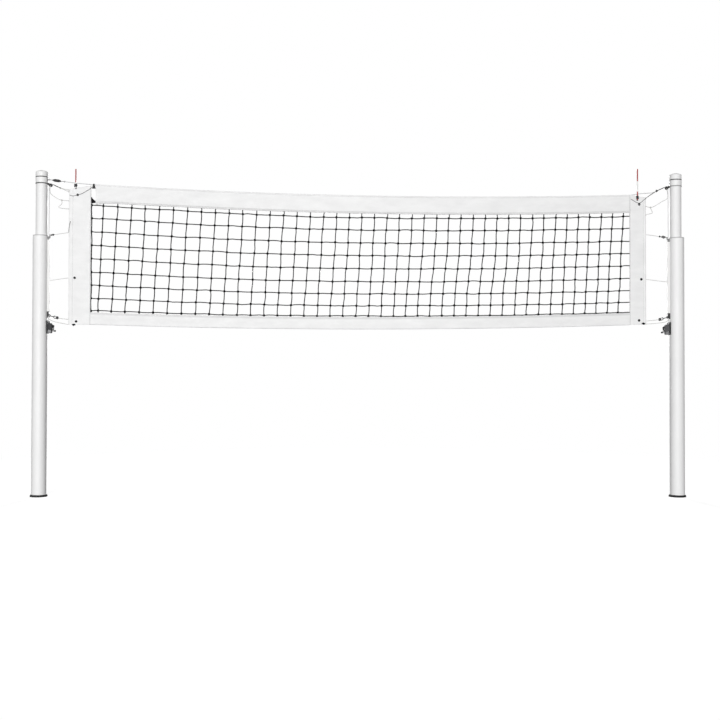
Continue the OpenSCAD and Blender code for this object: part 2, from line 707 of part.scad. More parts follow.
module bottom_strip(rise) {
  xs = steps_between(left_inner + 5, right_inner - 3, edge_steps);
  polygon(concat([for (x = xs) [x, bottom_z(x)]],
    [for (i = [edge_steps:-1:0]) [xs[i], bottom_z(xs[i]) + rise]]));
}

// Folded bands: two skins joined along a hem
module top_band() {
  color("#f5f5f5") union() {
    slab(-half_band, -half_gap) top_strip(top_band_h);
    slab(half_gap, half_band) top_strip(top_band_h);
    slab(-half_band, half_band) top_strip(hem);
  }
}

module bottom_band() {
  color("#f5f5f5") union() {
    slab(-half_band, -half_gap) bottom_strip(bottom_band_h);
    slab(half_gap, half_band) bottom_strip(bottom_band_h);
    slab(-half_band, half_band) bottom_strip(hem);
  }
}

module side_band(outer, inner, top_outer, top_inner, bottom, holes, s) {
  color("#f5f5f5") difference() {
    union() {
      for (y = [-half_band, half_gap]) slab(y, y + skin)
        polygon([[outer, bottom], [inner, bottom], [inner, top_inner], [outer, top_outer]]);
      slab(-half_band, half_band) polygon([[outer, bottom], [outer + s * hem, bottom],
        [outer + s * hem, top_outer], [outer, top_outer]]);
    }
    for (h = holes) translate([outer + s * h[0], -10, h[1]]) along_y()
      cylinder(h = 20, r = eyelet_barrel_r);
  }
}
module left_side_band() {
  side_band(net_left, left_inner, top_z(net_left) - 52, top_z(left_inner) - 12,
    bottom_z(net_left) - 8, left_eyelets, 1);
}
module right_side_band() {
  side_band(net_right, right_inner, top_z(net_right) - 22, top_z(right_inner),
    bottom_z(net_right) - 2, right_eyelets, -1);
}

module eyelet() {
  rotate([90, 0, 0]) rotate_extrude() difference() {
    translate([eyelet_hole_r, -half_band - 1]) square([eyelet_rim_r - eyelet_hole_r, 2 * half_band + 2]);
    translate([eyelet_barrel_r, -half_band]) square([10, 2 * half_band]);
  }
}
module eyelets() {
  color("#181818") {
    for (h = left_eyelets) translate([net_left + h[0], 0, h[1]]) eyelet();
    for (h = right_eyelets) translate([net_right - h[0], 0, h[1]]) eyelet();
  }
}

// Tension cable along the net's top edge, and rope along its bottom edge
module top_cable() {
  xs = steps_between(top_band_left - 10, top_band_right + 10, 44);
  start = [buckle_u - post_span / 2, 0, screw_eye_z]
    + (buckle_end + 5.1) * [cos(buckle_slope), 0, -sin(buckle_slope)];
  hook = [post_span / 2 - top_eye_u, 0, top_eye_z]
    - (apex_x + wire_r + seat_gap) * [cos(hook_slope), 0, sin(hook_slope)];
  color("#d9d9d9") cord(concat([start, start + [84, 0, -10]],
    [for (x = xs) [x, 0, cable_line(x)]],
    [[right_inner + 85, 0, cable_line(right_inner) + 15], [net_right + 50, 0, hook[2] - 16], hook]), rope_r);
}

module bottom_rope() {
  xs = steps_between(net_left + 8, net_right - 8, 44);
  color("#d9d9d9") cord([for (x = xs) [x, 0, rope_line(x)]], rope_r);
}

module antenna(x, clamp_z, tip_z) {
  color("#d4463c") translate([x, antenna_y, clamp_z - 8]) cylinder(h = tip_z - clamp_z + 8, r = antenna_d / 2);
}

module antenna_clamp(x, clamp_z, clamp_w) {
  color("#161616") difference() {
    union() {
      translate([x, antenna_y, clamp_z]) linear_extrude(clamp_h) offset(r = clamp_round)
        square([clamp_w, antenna_d + 2 * clamp_wall] - 2 * [clamp_round, clamp_round], center = true);
      translate([x - 5, antenna_y, clamp_z - 14]) cube([10, -half_band - antenna_y, clamp_h + 14]);
    }
    translate([x, antenna_y, clamp_z - 20]) cylinder(h = 60, r = antenna_d / 2);
  }
}

// Three-cornered clip on the top cable, left of the top band
module corner_clip() {
  x = top_band_left - 15;
  z = cable_line(x);
  color("#141414") difference() {
    slab(-5, 5) polygon([[x - 13, z - 30], [x + 13, z - 30], [x + 6, z + 7], [x - 6, z + 7]]);
    translate([x - 20, 0, z]) along_x() cylinder(h = 40, r = rope_r + 3 * seat_gap);
  }
}

module left_foot() { at_left() foot(); }
module right_foot() { at_right() foot(); }
module left_lower_tube() { at_left() lower_tube(); }
module right_lower_tube() { at_right() lower_tube(); }
module collar_bushes() { at_left() collar_bush(); at_right() collar_bush(); }
module cable_guards() { at_left() cable_guard(); at_right() cable_guard(); }
module collar_eyes() { at_left() collar_eye(); at_right() collar_eye(); }
module left_eye_plate() { at_left() eye_plate(); }
module right_eye_plate() { at_right() eye_plate(); }
module left_winch_base() { at_left() winch_base(); }
module right_winch_base() { at_right() winch_base(); }
module left_winch_housing() { at_left() winch_housing(); }
module right_winch_housing() { at_right() winch_housing(); }
module post_screws() { at_left() post_screw_set(); at_right() post_screw_set(); }
module left_winch_drum() { at_left() winch_drum(); }
module right_winch_drum() { at_right() winch_drum(); }
module left_crank() { at_left() crank(); }
module right_crank() { at_right() crank(); }
module left_crank_knob() { at_left() crank_knob(); }
module right_crank_knob() { at_right() crank_knob(); }
module left_bottom_hook() { at_left() as_bottom_hook() snap_hook(90); }
module right_bottom_hook() { at_right() as_bottom_hook() snap_hook(90); }
module left_bottom_gate() { at_left() as_bottom_hook() snap_gate(); }
module right_bottom_gate() { at_right() as_bottom_hook() snap_gate(); }
module left_upper_tube() { at_left() upper_tube(); }
module right_upper_tube() { at_right() upper_tube(); }
module guide_rings() { at_left() guide_ring(); at_right() guide_ring(); }
module left_cap() { at_left() cap(); }
module right_cap() { at_right() cap(); }
module cap_bands() { at_left() cap_band(); at_right() cap_band(); }
module left_hook_ring() { at_left() hook_ring(); }
module right_hook_ring() { at_right() hook_ring(); }
module left_sheave() { at_left() sheave(); }
module right_sheave() { at_right() sheave(); }
module left_top_hook() { at_left() as_top_hook() snap_hook(0); }
module right_top_hook() { at_right() as_top_hook() snap_hook(0); }
module left_top_gate() { at_left() as_top_hook() snap_gate(); }
module right_top_gate() { at_right() as_top_hook() snap_gate(); }
module left_antenna() { antenna(left_antenna_x, left_clamp_z, left_antenna_z); }
module right_antenna() { antenna(right_antenna_x, right_clamp_z, right_antenna_z); }
module left_antenna_clamp() { antenna_clamp(left_antenna_x, left_clamp_z, 24); }
module right_antenna_clamp() { antenna_clamp(right_antenna_x, right_clamp_z, 18); }
module left_top_ties() {
  at_left() top_ties(left_gap, left_slack_cord, 2312, left_slack_loop, 2248, left_bow_cords, left_drape);
}
module right_top_ties() {
  at_right() top_ties(right_gap, right_slack_cord, 2288, right_slack_loop, 2221, right_bow_cords, right_drape);
}
module left_side_ties() { at_left() side_ties(left_gap, 2062, 1706, left_low_cord, 1342); }
module right_side_ties() { at_right() side_ties(right_gap, 2064, 1710, right_low_cord, 1358); }
module left_tension_cable() { at_left() tension_cable(); }
module right_tension_cable() { at_right() tension_cable(); }

left_foot();
right_foot();
left_lower_tube();
right_lower_tube();
collar_bushes();
cable_guards();
collar_eyes();
left_eye_plate();
right_eye_plate();
left_winch_base();
right_winch_base();
left_winch_housing();
right_winch_housing();
post_screws();
left_winch_drum();
right_winch_drum();
left_crank();
right_crank();
left_crank_knob();
right_crank_knob();
left_bottom_hook();
right_bottom_hook();
left_bottom_gate();
right_bottom_gate();
left_upper_tube();
right_upper_tube();
guide_rings();
left_cap();
right_cap();
cap_bands();
left_hook_ring();
right_hook_ring();
left_sheave();
right_sheave();
left_top_hook();
right_top_hook();
left_top_gate();
right_top_gate();
turnbuckle_body();
turnbuckle_ends();
net_mesh();
top_band();
bottom_band();
left_side_band();
right_side_band();
top_cable();
bottom_rope();
left_antenna();
right_antenna();
left_antenna_clamp();
right_antenna_clamp();
left_top_ties();
right_top_ties();
left_side_ties();
right_side_ties();
eyelets();
corner_clip();
left_tension_cable();
right_tension_cable();
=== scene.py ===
import math

import bmesh
import bpy
from mathutils import Matrix, Vector, noise


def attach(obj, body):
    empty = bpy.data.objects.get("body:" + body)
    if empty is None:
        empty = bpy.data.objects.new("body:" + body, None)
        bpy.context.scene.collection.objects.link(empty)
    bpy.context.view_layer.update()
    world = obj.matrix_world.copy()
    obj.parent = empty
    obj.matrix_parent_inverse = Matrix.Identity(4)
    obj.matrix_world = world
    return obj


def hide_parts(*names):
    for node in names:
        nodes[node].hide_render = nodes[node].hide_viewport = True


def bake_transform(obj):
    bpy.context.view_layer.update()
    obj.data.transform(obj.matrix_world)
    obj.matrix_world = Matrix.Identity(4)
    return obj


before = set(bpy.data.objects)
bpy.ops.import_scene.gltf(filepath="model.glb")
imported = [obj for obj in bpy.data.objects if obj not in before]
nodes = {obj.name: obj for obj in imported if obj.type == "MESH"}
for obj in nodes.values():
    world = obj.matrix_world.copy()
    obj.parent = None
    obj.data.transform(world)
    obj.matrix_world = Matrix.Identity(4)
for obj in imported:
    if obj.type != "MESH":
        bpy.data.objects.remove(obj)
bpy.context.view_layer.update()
POSTS = "posts"
NET = "net_and_upper_tubes"
LEFT, RIGHT = -1, 1
WORLD_LIGHT = 0.11

# Sizes in metres
HALF_SPAN = 2.5  # from the net's middle to a post's axis
FLOOR_FADE = (3.2, 5.5)  # how far out the floor begins and ends to turn plain white
CORD_R = 0.0042  # the net's cords
TUCK = 0.018  # how far those reach in between a band's two layers
ROPE_R = 0.00275  # the cable in the top band and the rope in the bottom band
TIE_R = 0.002
CABLE_R = 0.0025  # the posts' tension cables
SKIN = 0.001  # thickness of the bands' cloth
BAND_HALF = 0.0052  # half the thickness of a folded band
TOP_BAND_DROP = 0.142
BOTTOM_BAND_RISE = 0.095
NET_LEFT, NET_RIGHT = -2.279, 2.257  # the side bands' outer edges
LEFT_INNER, RIGHT_INNER = -2.107, 2.127  # and their inner edges
TOP_BAND_LEFT, TOP_BAND_RIGHT = -2.071, 2.1255
FACE_Y = -0.0075  # a cord that lies on a side band's face
RIM_Y = -0.0085  # a cord that passes over an eyelet or up the band's fold
EYELETS = ((-2.211, 2.358), (-2.231, 1.707), (-2.217, 1.366),
           (2.203, 2.302), (2.219, 1.710), (2.200, 1.386))
EYELET_R = 0.0046

# Places beside a post, measured inwards from its axis
EDGE_IN = {LEFT: 0.2202, RIGHT: 0.2422}  # where ties are made fast to the net's edge
CABLE_IN = 0.066
DRUM_Z, HEAD_Z = 1.286, 2.430  # the tension cable's two ends
SHEAVE_IN, SHEAVE_Z, GROOVE_R = 0.078, 2.433, 0.012  # the cable's bend round the head sheave
COLLAR_IN, COLLAR_Z = 0.0838, 2.042  # where the collar tie leaves its eye


def top_z(x):
    """Height of the net's sagging top edge."""
    return 2.358 + (x - 0.75) ** 2 / 94.6


def bottom_z(x):
    """Height of the net's sagging bottom edge."""
    return 1.311 + (x + 0.107) ** 2 / 128.8


def at(side, u, y, z):
    """A place that lies u inwards from the axis of the LEFT or the RIGHT post."""
    return Vector((side * (HALF_SPAN - u), y, z))


def beside(side, *places):
    """Route points beside a post, each given as inwards, y and z."""
    return [at(side, *place) for place in places]


# ---------------------------------------------------------------- camera, light, floor
def place_camera():
    """The camera stands 8 m in front of the net at chest height, almost level."""
    pitch, yaw, roll = (math.radians(a) for a in (0.99, 0.813, 0.112))
    ahead = Vector((math.sin(yaw) * math.cos(pitch), math.cos(yaw) * math.cos(pitch), math.sin(pitch)))
    level = Vector((math.cos(yaw), -math.sin(yaw), 0))
    upright = level.cross(ahead)
    right = math.cos(roll) * level + math.sin(roll) * upright
    up = right.cross(ahead)
    turn = Matrix((right, up, -ahead)).transposed().to_4x4()
    data = bpy.data.cameras.new("camera")
    data.lens, data.sensor_width, data.sensor_fit = 51, 36, "HORIZONTAL"
    camera = bpy.data.objects.new("camera", data)
    camera.matrix_world = Matrix.Translation((-0.111, -8.0, 0.931)) @ turn
    bpy.context.scene.collection.objects.link(camera)
    bpy.context.scene.camera = camera


def softbox(name, place, target, size, watts):
    """A rectangular lamp that faces its target."""
    data = bpy.data.lights.new(name, "AREA")
    data.shape, data.size, data.size_y, data.energy = "RECTANGLE", size[0], size[1], watts
    lamp = bpy.data.objects.new(name, data)
    lamp.location = place
    lamp.rotation_euler = (Vector(target) - Vector(place)).to_track_quat("-Z", "Y").to_euler()
    bpy.context.scene.collection.objects.link(lamp)


def shown_to_camera(tree):
    """1 for rays from the camera, from gloss and through glass, 0 for rays that carry light."""
    path = tree.nodes.new("ShaderNodeLightPath")
    seen = path.outputs["Is Camera Ray"]
    for ray in ("Is Glossy Ray", "Is Transmission Ray"):
        either = tree.nodes.new("ShaderNodeMath")
        either.operation, either.use_clamp = "ADD", True
        tree.links.new(seen, either.inputs[0])
        tree.links.new(path.outputs[ray], either.inputs[1])
        seen = either.outputs[0]
    return seen


def light_room():
    """A world that shows as white and lights faintly, with a broad lamp in front and one behind."""
    world = bpy.data.worlds.new("room")
    bpy.context.scene.world = world
    world.use_nodes = True
    tree = world.node_tree
    tree.nodes.clear()
    light = tree.nodes.new("ShaderNodeBackground")
    light.inputs["Color"].default_value = (1, 1, 1, 1)
    light.inputs["Strength"].default_value = WORLD_LIGHT
    white = tree.nodes.new("ShaderNodeBackground")
    white.inputs["Color"].default_value = (1, 1, 1, 1)
    mix = tree.nodes.new("ShaderNodeMixShader")
    out = tree.nodes.new("ShaderNodeOutputWorld")
    tree.links.new(shown_to_camera(tree), mix.inputs[0])
    tree.links.new(light.outputs[0], mix.inputs[1])
    tree.links.new(white.outputs[0], mix.inputs[2])
    tree.links.new(mix.outputs[0], out.inputs["Surface"])
    softbox("front", (-2.0, -18, 2.2), (0, 0, 1.3), (6, 4), 2900)
    softbox("back", (0, 18, 4.0), (0, 0, 1.3), (4, 4), 1700)


def lay_floor():
    """White floor: the object's faint shadow shows near the feet, and farther out all is plain white."""
    bm = bmesh.new()
    bmesh.ops.create_grid(bm, x_segments=1, y_segments=1, size=30)
    bmesh.ops.translate(bm, verts=bm.verts, vec=(0, 0, -0.0005))
    floor = as_object("floor", bm)
    mat = bpy.data.materials.new("floor_white")
    mat.use_nodes = True
    tree = mat.node_tree
    tree.nodes.clear()
    paint = tree.nodes.new("ShaderNodeBsdfDiffuse")
    glow = tree.nodes.new("ShaderNodeEmission")
    place = tree.nodes.new("ShaderNodeTexCoord")
    reach = tree.nodes.new("ShaderNodeVectorMath")
    reach.operation = "LENGTH"
    tree.links.new(place.outputs["Object"], reach.inputs[0])
    for socket, near, far in ((glow.inputs["Strength"], 0.76, 1.0), (paint.inputs["Color"], 0.9, 0.0)):
        fade = tree.nodes.new("ShaderNodeMapRange")
        for key, value in zip(("From Min", "From Max", "To Min", "To Max"), (*FLOOR_FADE, near, far)):
            fade.inputs[key].default_value = value
        tree.links.new(reach.outputs["Value"], fade.inputs["Value"])
        tree.links.new(fade.outputs["Result"], socket)
    both = tree.nodes.new("ShaderNodeAddShader")
    dull = tree.nodes.new("ShaderNodeBsdfDiffuse")
    dull.inputs["Color"].default_value = (0.3, 0.3, 0.3, 1)
    mix = tree.nodes.new("ShaderNodeMixShader")
    out = tree.nodes.new("ShaderNodeOutputMaterial")
    tree.links.new(paint.outputs[0], both.inputs[0])
    tree.links.new(glow.outputs[0], both.inputs[1])
    tree.links.new(shown_to_camera(tree), mix.inputs[0])
    tree.links.new(dull.outputs[0], mix.inputs[1])
    tree.links.new(both.outputs[0], mix.inputs[2])
    tree.links.new(mix.outputs[0], out.inputs["Surface"])
    floor.data.materials.append(mat)


# ---------------------------------------------------------------- making pieces
def as_object(name, bm, smooth=False):
    """Turns a bmesh into an object at the origin."""
    mesh = bpy.data.meshes.new(name)
    bm.to_mesh(mesh)
    bm.free()
    if smooth:
        mesh.shade_smooth()
    piece = bpy.data.objects.new(name, mesh)
    bpy.context.scene.collection.objects.link(piece)
    return piece


def finish_piece(piece, mat, slot, body, *stands_for):
    """Gives a piece its material and its body, and hides the nodes that it stands for; a piece with no body
    stays unattached. The slot is not used.
    """
    piece.data.materials.clear()
    piece.data.materials.append(mat)
    if stands_for:
        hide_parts(*stands_for)
    if body:
        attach(piece, body)
    return piece


def smooth_route(points, steps):
    """A curve through the points, with even small steps between them."""
    p = [Vector(q) for q in points]
    p = [2 * p[0] - p[1]] + p + [2 * p[-1] - p[-2]]
    out = []
    for a, b, c, d in zip(p, p[1:], p[2:], p[3:]):
        for k in range(steps):
            t = k / steps
            out.append(0.5 * ((2 * b) + (c - a) * t + (2 * a - 5 * b + 4 * c - d) * t * t
                              + (3 * b - a - 3 * c + d) * t ** 3))
    return out + [p[-2]]


def route_length(route):
    """How long a route is, in metres."""
    return sum((Vector(b) - Vector(a)).length for a, b in zip(route, route[1:]))


def tube_mesh(bm, route, radius, sides):
    """Adds a round tube along the route, with U running along it in turns of the cord's lay."""
    curve = bpy.data.curves.new("line", "CURVE")
    curve.dimensions, curve.bevel_depth = "3D", radius
    curve.bevel_resolution, curve.use_fill_caps = (sides - 4) // 2, True
    line = curve.splines.new("POLY")
    line.points.add(len(route) - 1)
    for point, place in zip(line.points, route):
        point.co = (*place, 1)
    line.use_smooth = True
    holder = bpy.data.objects.new("line", curve)
    bpy.context.scene.collection.objects.link(holder)
    mesh = bpy.data.meshes.new_from_object(holder.evaluated_get(bpy.context.evaluated_depsgraph_get()))
    along = route_length(route) / (radius * 2)
    for corner in mesh.uv_layers[0].data:
        corner.uv = (corner.uv[0] * along, corner.uv[1])
    bm.from_mesh(mesh)
    bpy.data.objects.remove(holder)
    bpy.data.curves.remove(curve)
    bpy.data.meshes.remove(mesh)


def foot_ring(name, side, mat):
    """The rubber foot: a thick ring with a rounded lip that stands out from under the tube; its wide black
    lip also stands in for the contact shadow round the foot, as painted shade.

    Its outline is given as radius and height, from the middle underneath round the lip and back.
    """
    outline = ((0, 0), (0.0655, 0), (0.0675, 0.0025), (0.0672, 0.009), (0.0650, 0.0135), (0.0605, 0.0165),
               (0.0578, 0.0165), (0.0578, 0.0118), (0, 0.0118))
    bm = bmesh.new()
    line = [bm.verts.new((r, 0, z)) for r, z in outline]
    edges = [bm.edges.new(pair) for pair in zip(line, line[1:])]
    bmesh.ops.spin(bm, geom=line + edges, axis=(0, 0, 1), cent=(0, 0, 0), angle=2 * math.pi, steps=48,
                   use_duplicate=False)
    bmesh.ops.remove_doubles(bm, verts=bm.verts, dist=0.00005)
    bmesh.ops.recalc_face_normals(bm, faces=bm.faces)
    bmesh.ops.translate(bm, verts=bm.verts, vec=at(side, 0, 0, 0))
    piece = as_object(name + "_ring", bm, smooth=True)
    piece.data.set_sharp_from_angle(angle=math.radians(40))
    finish_piece(piece, mat, "black_rubber", POSTS, name)


# ---------------------------------------------------------------- materials
class Finish:
    """A Principled material that is built up with the nodes that a surface needs."""

    def __init__(self, name, color, rough, metal=0.0, specular=0.5):
        self.mat = bpy.data.materials.new(name)
        self.mat.use_nodes = True
        self.tree = self.mat.node_tree
        self.shader = self.tree.nodes["Principled BSDF"]
        self.shader.inputs["Base Color"].default_value = (*color, 1)
        self.shader.inputs["Roughness"].default_value = rough
        self.shader.inputs["Metallic"].default_value = metal
        self.shader.inputs["Specular IOR Level"].default_value = specular
        self.color = color
        self.coords = self.tree.nodes.new("ShaderNodeTexCoord")
        self.bumps = None

    def node(self, kind, **values):
        """A new node, with its sockets and settings filled in by name."""
        made = self.tree.nodes.new(kind)
        for key, value in values.items():
            if key in made.inputs:
                made.inputs[key].default_value = value
            else:
                setattr(made, key, value)
        return made

    def link(self, a, b):
        self.tree.links.new(a, b)

    def split(self, space):
        """The numbers of the Object or the UV coordinates, one by one."""
        parts = self.node("ShaderNodeSeparateXYZ")
        self.link(self.coords.outputs[space], parts.inputs[0])
        return parts.outputs

    def reckon(self, operation, *terms):
        """One sum, whose terms are sockets or plain numbers."""
        step = self.node("ShaderNodeMath", operation=operation)
        for socket, term in zip(step.inputs, terms):
            if isinstance(term, (int, float)):
                socket.default_value = term
            else:
                self.link(term, socket)
        return step.outputs[0]

    def noise(self, scale, detail=3.0, rough=0.5, stretch=(1, 1, 1)):
        """Clouds from 0 to 1 on the Object coordinates."""
        place = self.node("ShaderNodeMapping")
        place.inputs["Scale"].default_value = stretch
        self.link(self.coords.outputs["Object"], place.inputs["Vector"])
        cloud = self.node("ShaderNodeTexNoise")
        cloud.inputs["Scale"].default_value = scale
        cloud.inputs["Detail"].default_value = detail
        cloud.inputs["Roughness"].default_value = rough
        self.link(place.outputs[0], cloud.inputs["Vector"])
        return cloud.outputs["Fac"]

    def ramp(self, value, stops, change="LINEAR"):
        """Turns a value from 0 to 1 into a colour; each stop is a value and its colour."""
        ramp = self.node("ShaderNodeValToRGB")
        ramp.color_ramp.interpolation = change
        ramp.color_ramp.elements[0].position = stops[0][0]
        ramp.color_ramp.elements[0].color = (*stops[0][1], 1)
        ramp.color_ramp.elements[1].position = stops[-1][0]
        ramp.color_ramp.elements[1].color = (*stops[-1][1], 1)
        for stop, color in stops[1:-1]:
            ramp.color_ramp.elements.new(stop).color = (*color, 1)
        self.link(value, ramp.inputs[0])
        return ramp.outputs["Color"]

    def spread(self, value, low, high, start=0.3, end=0.7):
        """Maps a noise value to a number between low and high."""
        span = self.node("ShaderNodeMapRange")
        for key, number in (("From Min", start), ("From Max", end), ("To Min", low), ("To Max", high)):
            span.inputs[key].default_value = number
        self.link(value, span.inputs["Value"])
        return span.outputs["Result"]

    def bump(self, height, distance, strength=1.0):
        """Adds a relief on top of those before it."""
        relief = self.node("ShaderNodeBump")
        relief.inputs["Distance"].default_value = distance
        relief.inputs["Strength"].default_value = strength
        self.link(height, relief.inputs["Height"])
        if self.bumps:
            self.link(self.bumps, relief.inputs["Normal"])
        self.bumps = relief.outputs["Normal"]
        self.link(self.bumps, self.shader.inputs["Normal"])

    def tint(self, value, low, high, start=0.3, end=0.7):
        """Lets the colour drift between low and high times itself."""
        shade = self.ramp(self.spread(value, 0, 1, start, end),
                          [(0, [c * low for c in self.color]), (1, [min(1, c * high) for c in self.color])])
        self.link(shade, self.shader.inputs["Base Color"])
        return shade

    def roughness(self, value, low, high):
        """Lets the roughness drift between low and high."""
        self.link(self.spread(value, low, high), self.shader.inputs["Roughness"])


def powder_coat(name, color, rough):
    """Powder coat: a faint orange peel, slight clouds in the colour and a little grime."""
    f = Finish(name, color, rough, specular=0.3)
    f.bump(f.noise(420, 2), 0.00012, 0.5)
    f.tint(f.noise(3.5, 5, 0.6), 0.975, 1.01)
    f.roughness(f.noise(9, 4), rough - 0.05, rough + 0.08)
    return f.mat


def black_enamel(name, color, rough):
    """Black enamel over metal, rubbed brighter in small patches."""
    f = Finish(name, color, rough, specular=0.25)
    worn = f.noise(140, 6, 0.7)
    shade = f.ramp(worn, [(0.60, color), (0.74, [c * 1.8 + 0.02 for c in color])])
    f.link(shade, f.shader.inputs["Base Color"])
    f.roughness(f.noise(60, 4), rough - 0.08, rough + 0.12)
    f.bump(f.noise(700, 2), 0.00008, 0.6)
    return f.mat


def lugged_ring(name, ring, lug):
    """Clamp ring whose band is bare and whose lug, inwards from the tube, is enamelled."""
    f = Finish(name, ring, 0.5, specular=0.25)
    away = f.reckon("ABSOLUTE", f.split("Object")["X"])
    shade = f.ramp(f.spread(away, 0, 1, HALF_SPAN - 0.058, HALF_SPAN - 0.050), [(0, lug), (1, ring)])
    f.link(shade, f.shader.inputs["Base Color"])
    f.roughness(f.noise(60, 4), 0.42, 0.6)
    f.bump(f.noise(700, 2), 0.00008, 0.6)
    return f.mat


def moulded(name, color, rough):
    """Moulded rubber or plastic with a fine grain."""
    f = Finish(name, color, rough, specular=0.2)
    f.bump(f.noise(900, 2), 0.0001, 0.5)
    f.tint(f.noise(25, 4), 0.85, 1.15)
    f.roughness(f.noise(30, 3), rough - 0.06, rough + 0.06)
    return f.mat


def cast_metal(name, color, rough):
    """Painted casting with the grain of its mould."""
    f = Finish(name, color, rough, metal=0.2, specular=0.25)
    f.bump(f.noise(260, 6, 0.7), 0.0003, 0.7)
    f.tint(f.noise(90, 5), 0.8, 1.1)
    return f.mat


def turned_steel(name, color, rough):
    """Bare steel with fine level grooves from the lathe."""
    f = Finish(name, color, rough, metal=1.0)
    f.bump(f.noise(500, 3, 0.5, stretch=(1, 1, 12)), 0.00006, 0.5)
    f.roughness(f.noise(70, 4), rough - 0.08, rough + 0.12)
    return f.mat


STRANDS = 3


def laid_cord(name, color, rough, lay=0.8, depth=0.0006, sheen=0.25):
    """Strands laid round each other: stripes that climb round the tube as they run along it, with painted
    shade in the grooves between the strands.
    """
    f = Finish(name, color, rough, specular=sheen)
    lie = f.split("UV")
    along, around = f.reckon("MULTIPLY", lie["X"], lay), f.reckon("MULTIPLY", lie["Y"], STRANDS)
    strand = f.reckon("MULTIPLY", f.reckon("PINGPONG", f.reckon("ADD", along, around), 0.5), 2)
    f.bump(strand, depth, 0.8)
    f.bump(f.noise(1800, 3), 0.0002, 0.5)
    # The grooves between the strands are darkened to 0.55 of the colour: painted shade.
    shade = f.ramp(strand, [(0.0, [c * 0.55 for c in color]), (0.5, color)])
    f.link(shade, f.shader.inputs["Base Color"])
    return f.mat


def coated_cloth(name, color, rough):
    """Coated band fabric: its weave shows through the coat, with soft creases in relief, painted crease
    shade in soft streaks, and painted shade along the hems.
    """
    f = Finish(name, color, rough, specular=0.35)
    for direction in ("X", "Z"):
        wave = f.node("ShaderNodeTexWave", bands_direction=direction, Scale=260)
        f.link(f.coords.outputs["Object"], wave.inputs["Vector"])
        f.bump(wave.outputs["Fac"], 0.00007, 0.35)
    f.bump(f.noise(16, 4, 0.6, stretch=(1, 1, 0.35)), 0.0028, 0.5)
    # Soft greyer streaks drawn out along the band, from 0.925 to 1.01 of the colour: painted crease shade.
    shade = f.tint(f.noise(6, 4, 0.55, stretch=(1, 1, 2.6)), 0.925, 1.01)
    # Along the hems the colour is multiplied by 0.84: painted shade.
    hem = f.node("ShaderNodeAttribute", attribute_name="hem")
    hem_shade = f.node("ShaderNodeMix", data_type="RGBA", blend_type="MULTIPLY")
    unshaded_color, hem_shade_color = hem_shade.inputs[6], hem_shade.inputs[7]
    hem_shade_color.default_value = (0.84, 0.84, 0.84, 1)
    f.link(hem.outputs["Fac"], hem_shade.inputs["Factor"])
    f.link(shade, unshaded_color)
    f.link(hem_shade.outputs[2], f.shader.inputs["Base Color"])
    f.roughness(f.noise(40, 3), rough - 0.05, rough + 0.1)
    return f.mat


def banded_rod(name, red, white, edges):
    """Rod whose colour changes at each height in edges, from red at its tip downwards."""
    f = Finish(name, red, 0.35)
    low, high = edges[0] - 0.2, edges[-1] + 0.2
    stops = [0] + [(edge - low) / (high - low) for edge in edges]
    colors = [(red, white)[(len(edges) - k) % 2] for k in range(len(edges) + 1)]
    height = f.spread(f.split("Object")["Z"], 0, 1, low, high)
    f.link(f.ramp(height, list(zip(stops, colors)), "CONSTANT"), f.shader.inputs["Base Color"])
    f.bump(f.noise(300, 3), 0.0001, 0.4)
    return f.mat


# ---------------------------------------------------------------- the net
# From the top down: how high up the net each level cord lies, and how far its left end is drawn up
ROW_SHARES = (0.833, 0.7405, 0.6425, 0.5465, 0.449, 0.3515, 0.259, 0.1695, 0.0915)
ROW_LIFTS = (0.016,) * 7 + (0.011, 0.002)
COLUMNS = 43
FIRST_COLUMN_X, FIRST_COLUMN_TOP = -2.1015, 2.338
CORNER_FOOT = Vector((-2.069, 0, 2.2965))  # where the gathered corner's cords come together


def drift(x, z):
    """Where the net was pulled sideways: two stretches of it at every height, and one near its foot."""
    foot = min(1, max(0, (1.85 - z) / 0.25))
    return (-0.0085 * math.exp(-((x + 1.55) / 0.42) ** 2)
            + 0.007 * (1 - foot) * math.exp(-((x + 0.2) / 0.28) ** 2)
            - 0.015 * foot * math.exp(-((x - 0.83) / 0.5) ** 4))


def column_x(i, z):
    """Where upright cord i is at height z: closer set to the right, and leaning a little."""
    if i == 0:
        return FIRST_COLUMN_X
    lean = 0.057 if i > 1 else 0.043
    x = -2.1275 + 0.11297 * i - 0.000308 * i * i - lean * (2.13 - z)
    return x + drift(x, z)


def row_z(r, x):
    """Height of level cord r at x: it sags as the net's edges do, and is drawn up at the left end."""
    ramp = min(1, max(0, (-x - 0.034) / 1.9)) ** 2
    foot = bottom_z(x) + 0.007
    return foot + (ROW_SHARES[r] + ROW_LIFTS[r] * ramp) * (top_z(x) - foot)


def knot_place(i, r):
    """Where upright cord i and level cord r are knotted, a few millimetres off where they would cross."""
    z = row_z(r, column_x(i, 1.8))
    x = column_x(i, z)
    z = row_z(r, x)
    slack = 0.004
    return Vector((x + slack * noise.noise((i * 1.7, r * 2.3, 0.5)), 0,
                   z + slack * noise.noise((i * 2.1, r * 1.3, 7.5))))


def bowed(line, seed):
    """Adds two points to each stretch, set off a little to one side."""
    out = [line[0]]
    for k, (a, b) in enumerate(zip(line, line[1:])):
        side = Vector((-(b - a).z, 0, (b - a).x)).normalized()
        for t in (0.33, 0.67):
            out.append(a.lerp(b, t) + side * 0.006 * noise.noise((seed * 3.1, k * 1.7 + t, 2.5)))
        out.append(b)
    return out


def gathered_corner(bm):
    """The net's upper left corner, drawn together between the side band and the top band."""
    for k in range(8):
        start = Vector((LEFT_INNER - 0.008, 0, 2.350 - 0.0068 * k))
        middle = start.lerp(CORNER_FOOT, 0.5) + Vector((0, 0.001 * (-1) ** k, -0.002))
        end = CORNER_FOOT + Vector((0.012, 0, 0.001 * k))
        tube_mesh(bm, smooth_route([start, middle, end], 4), CORD_R, 6)


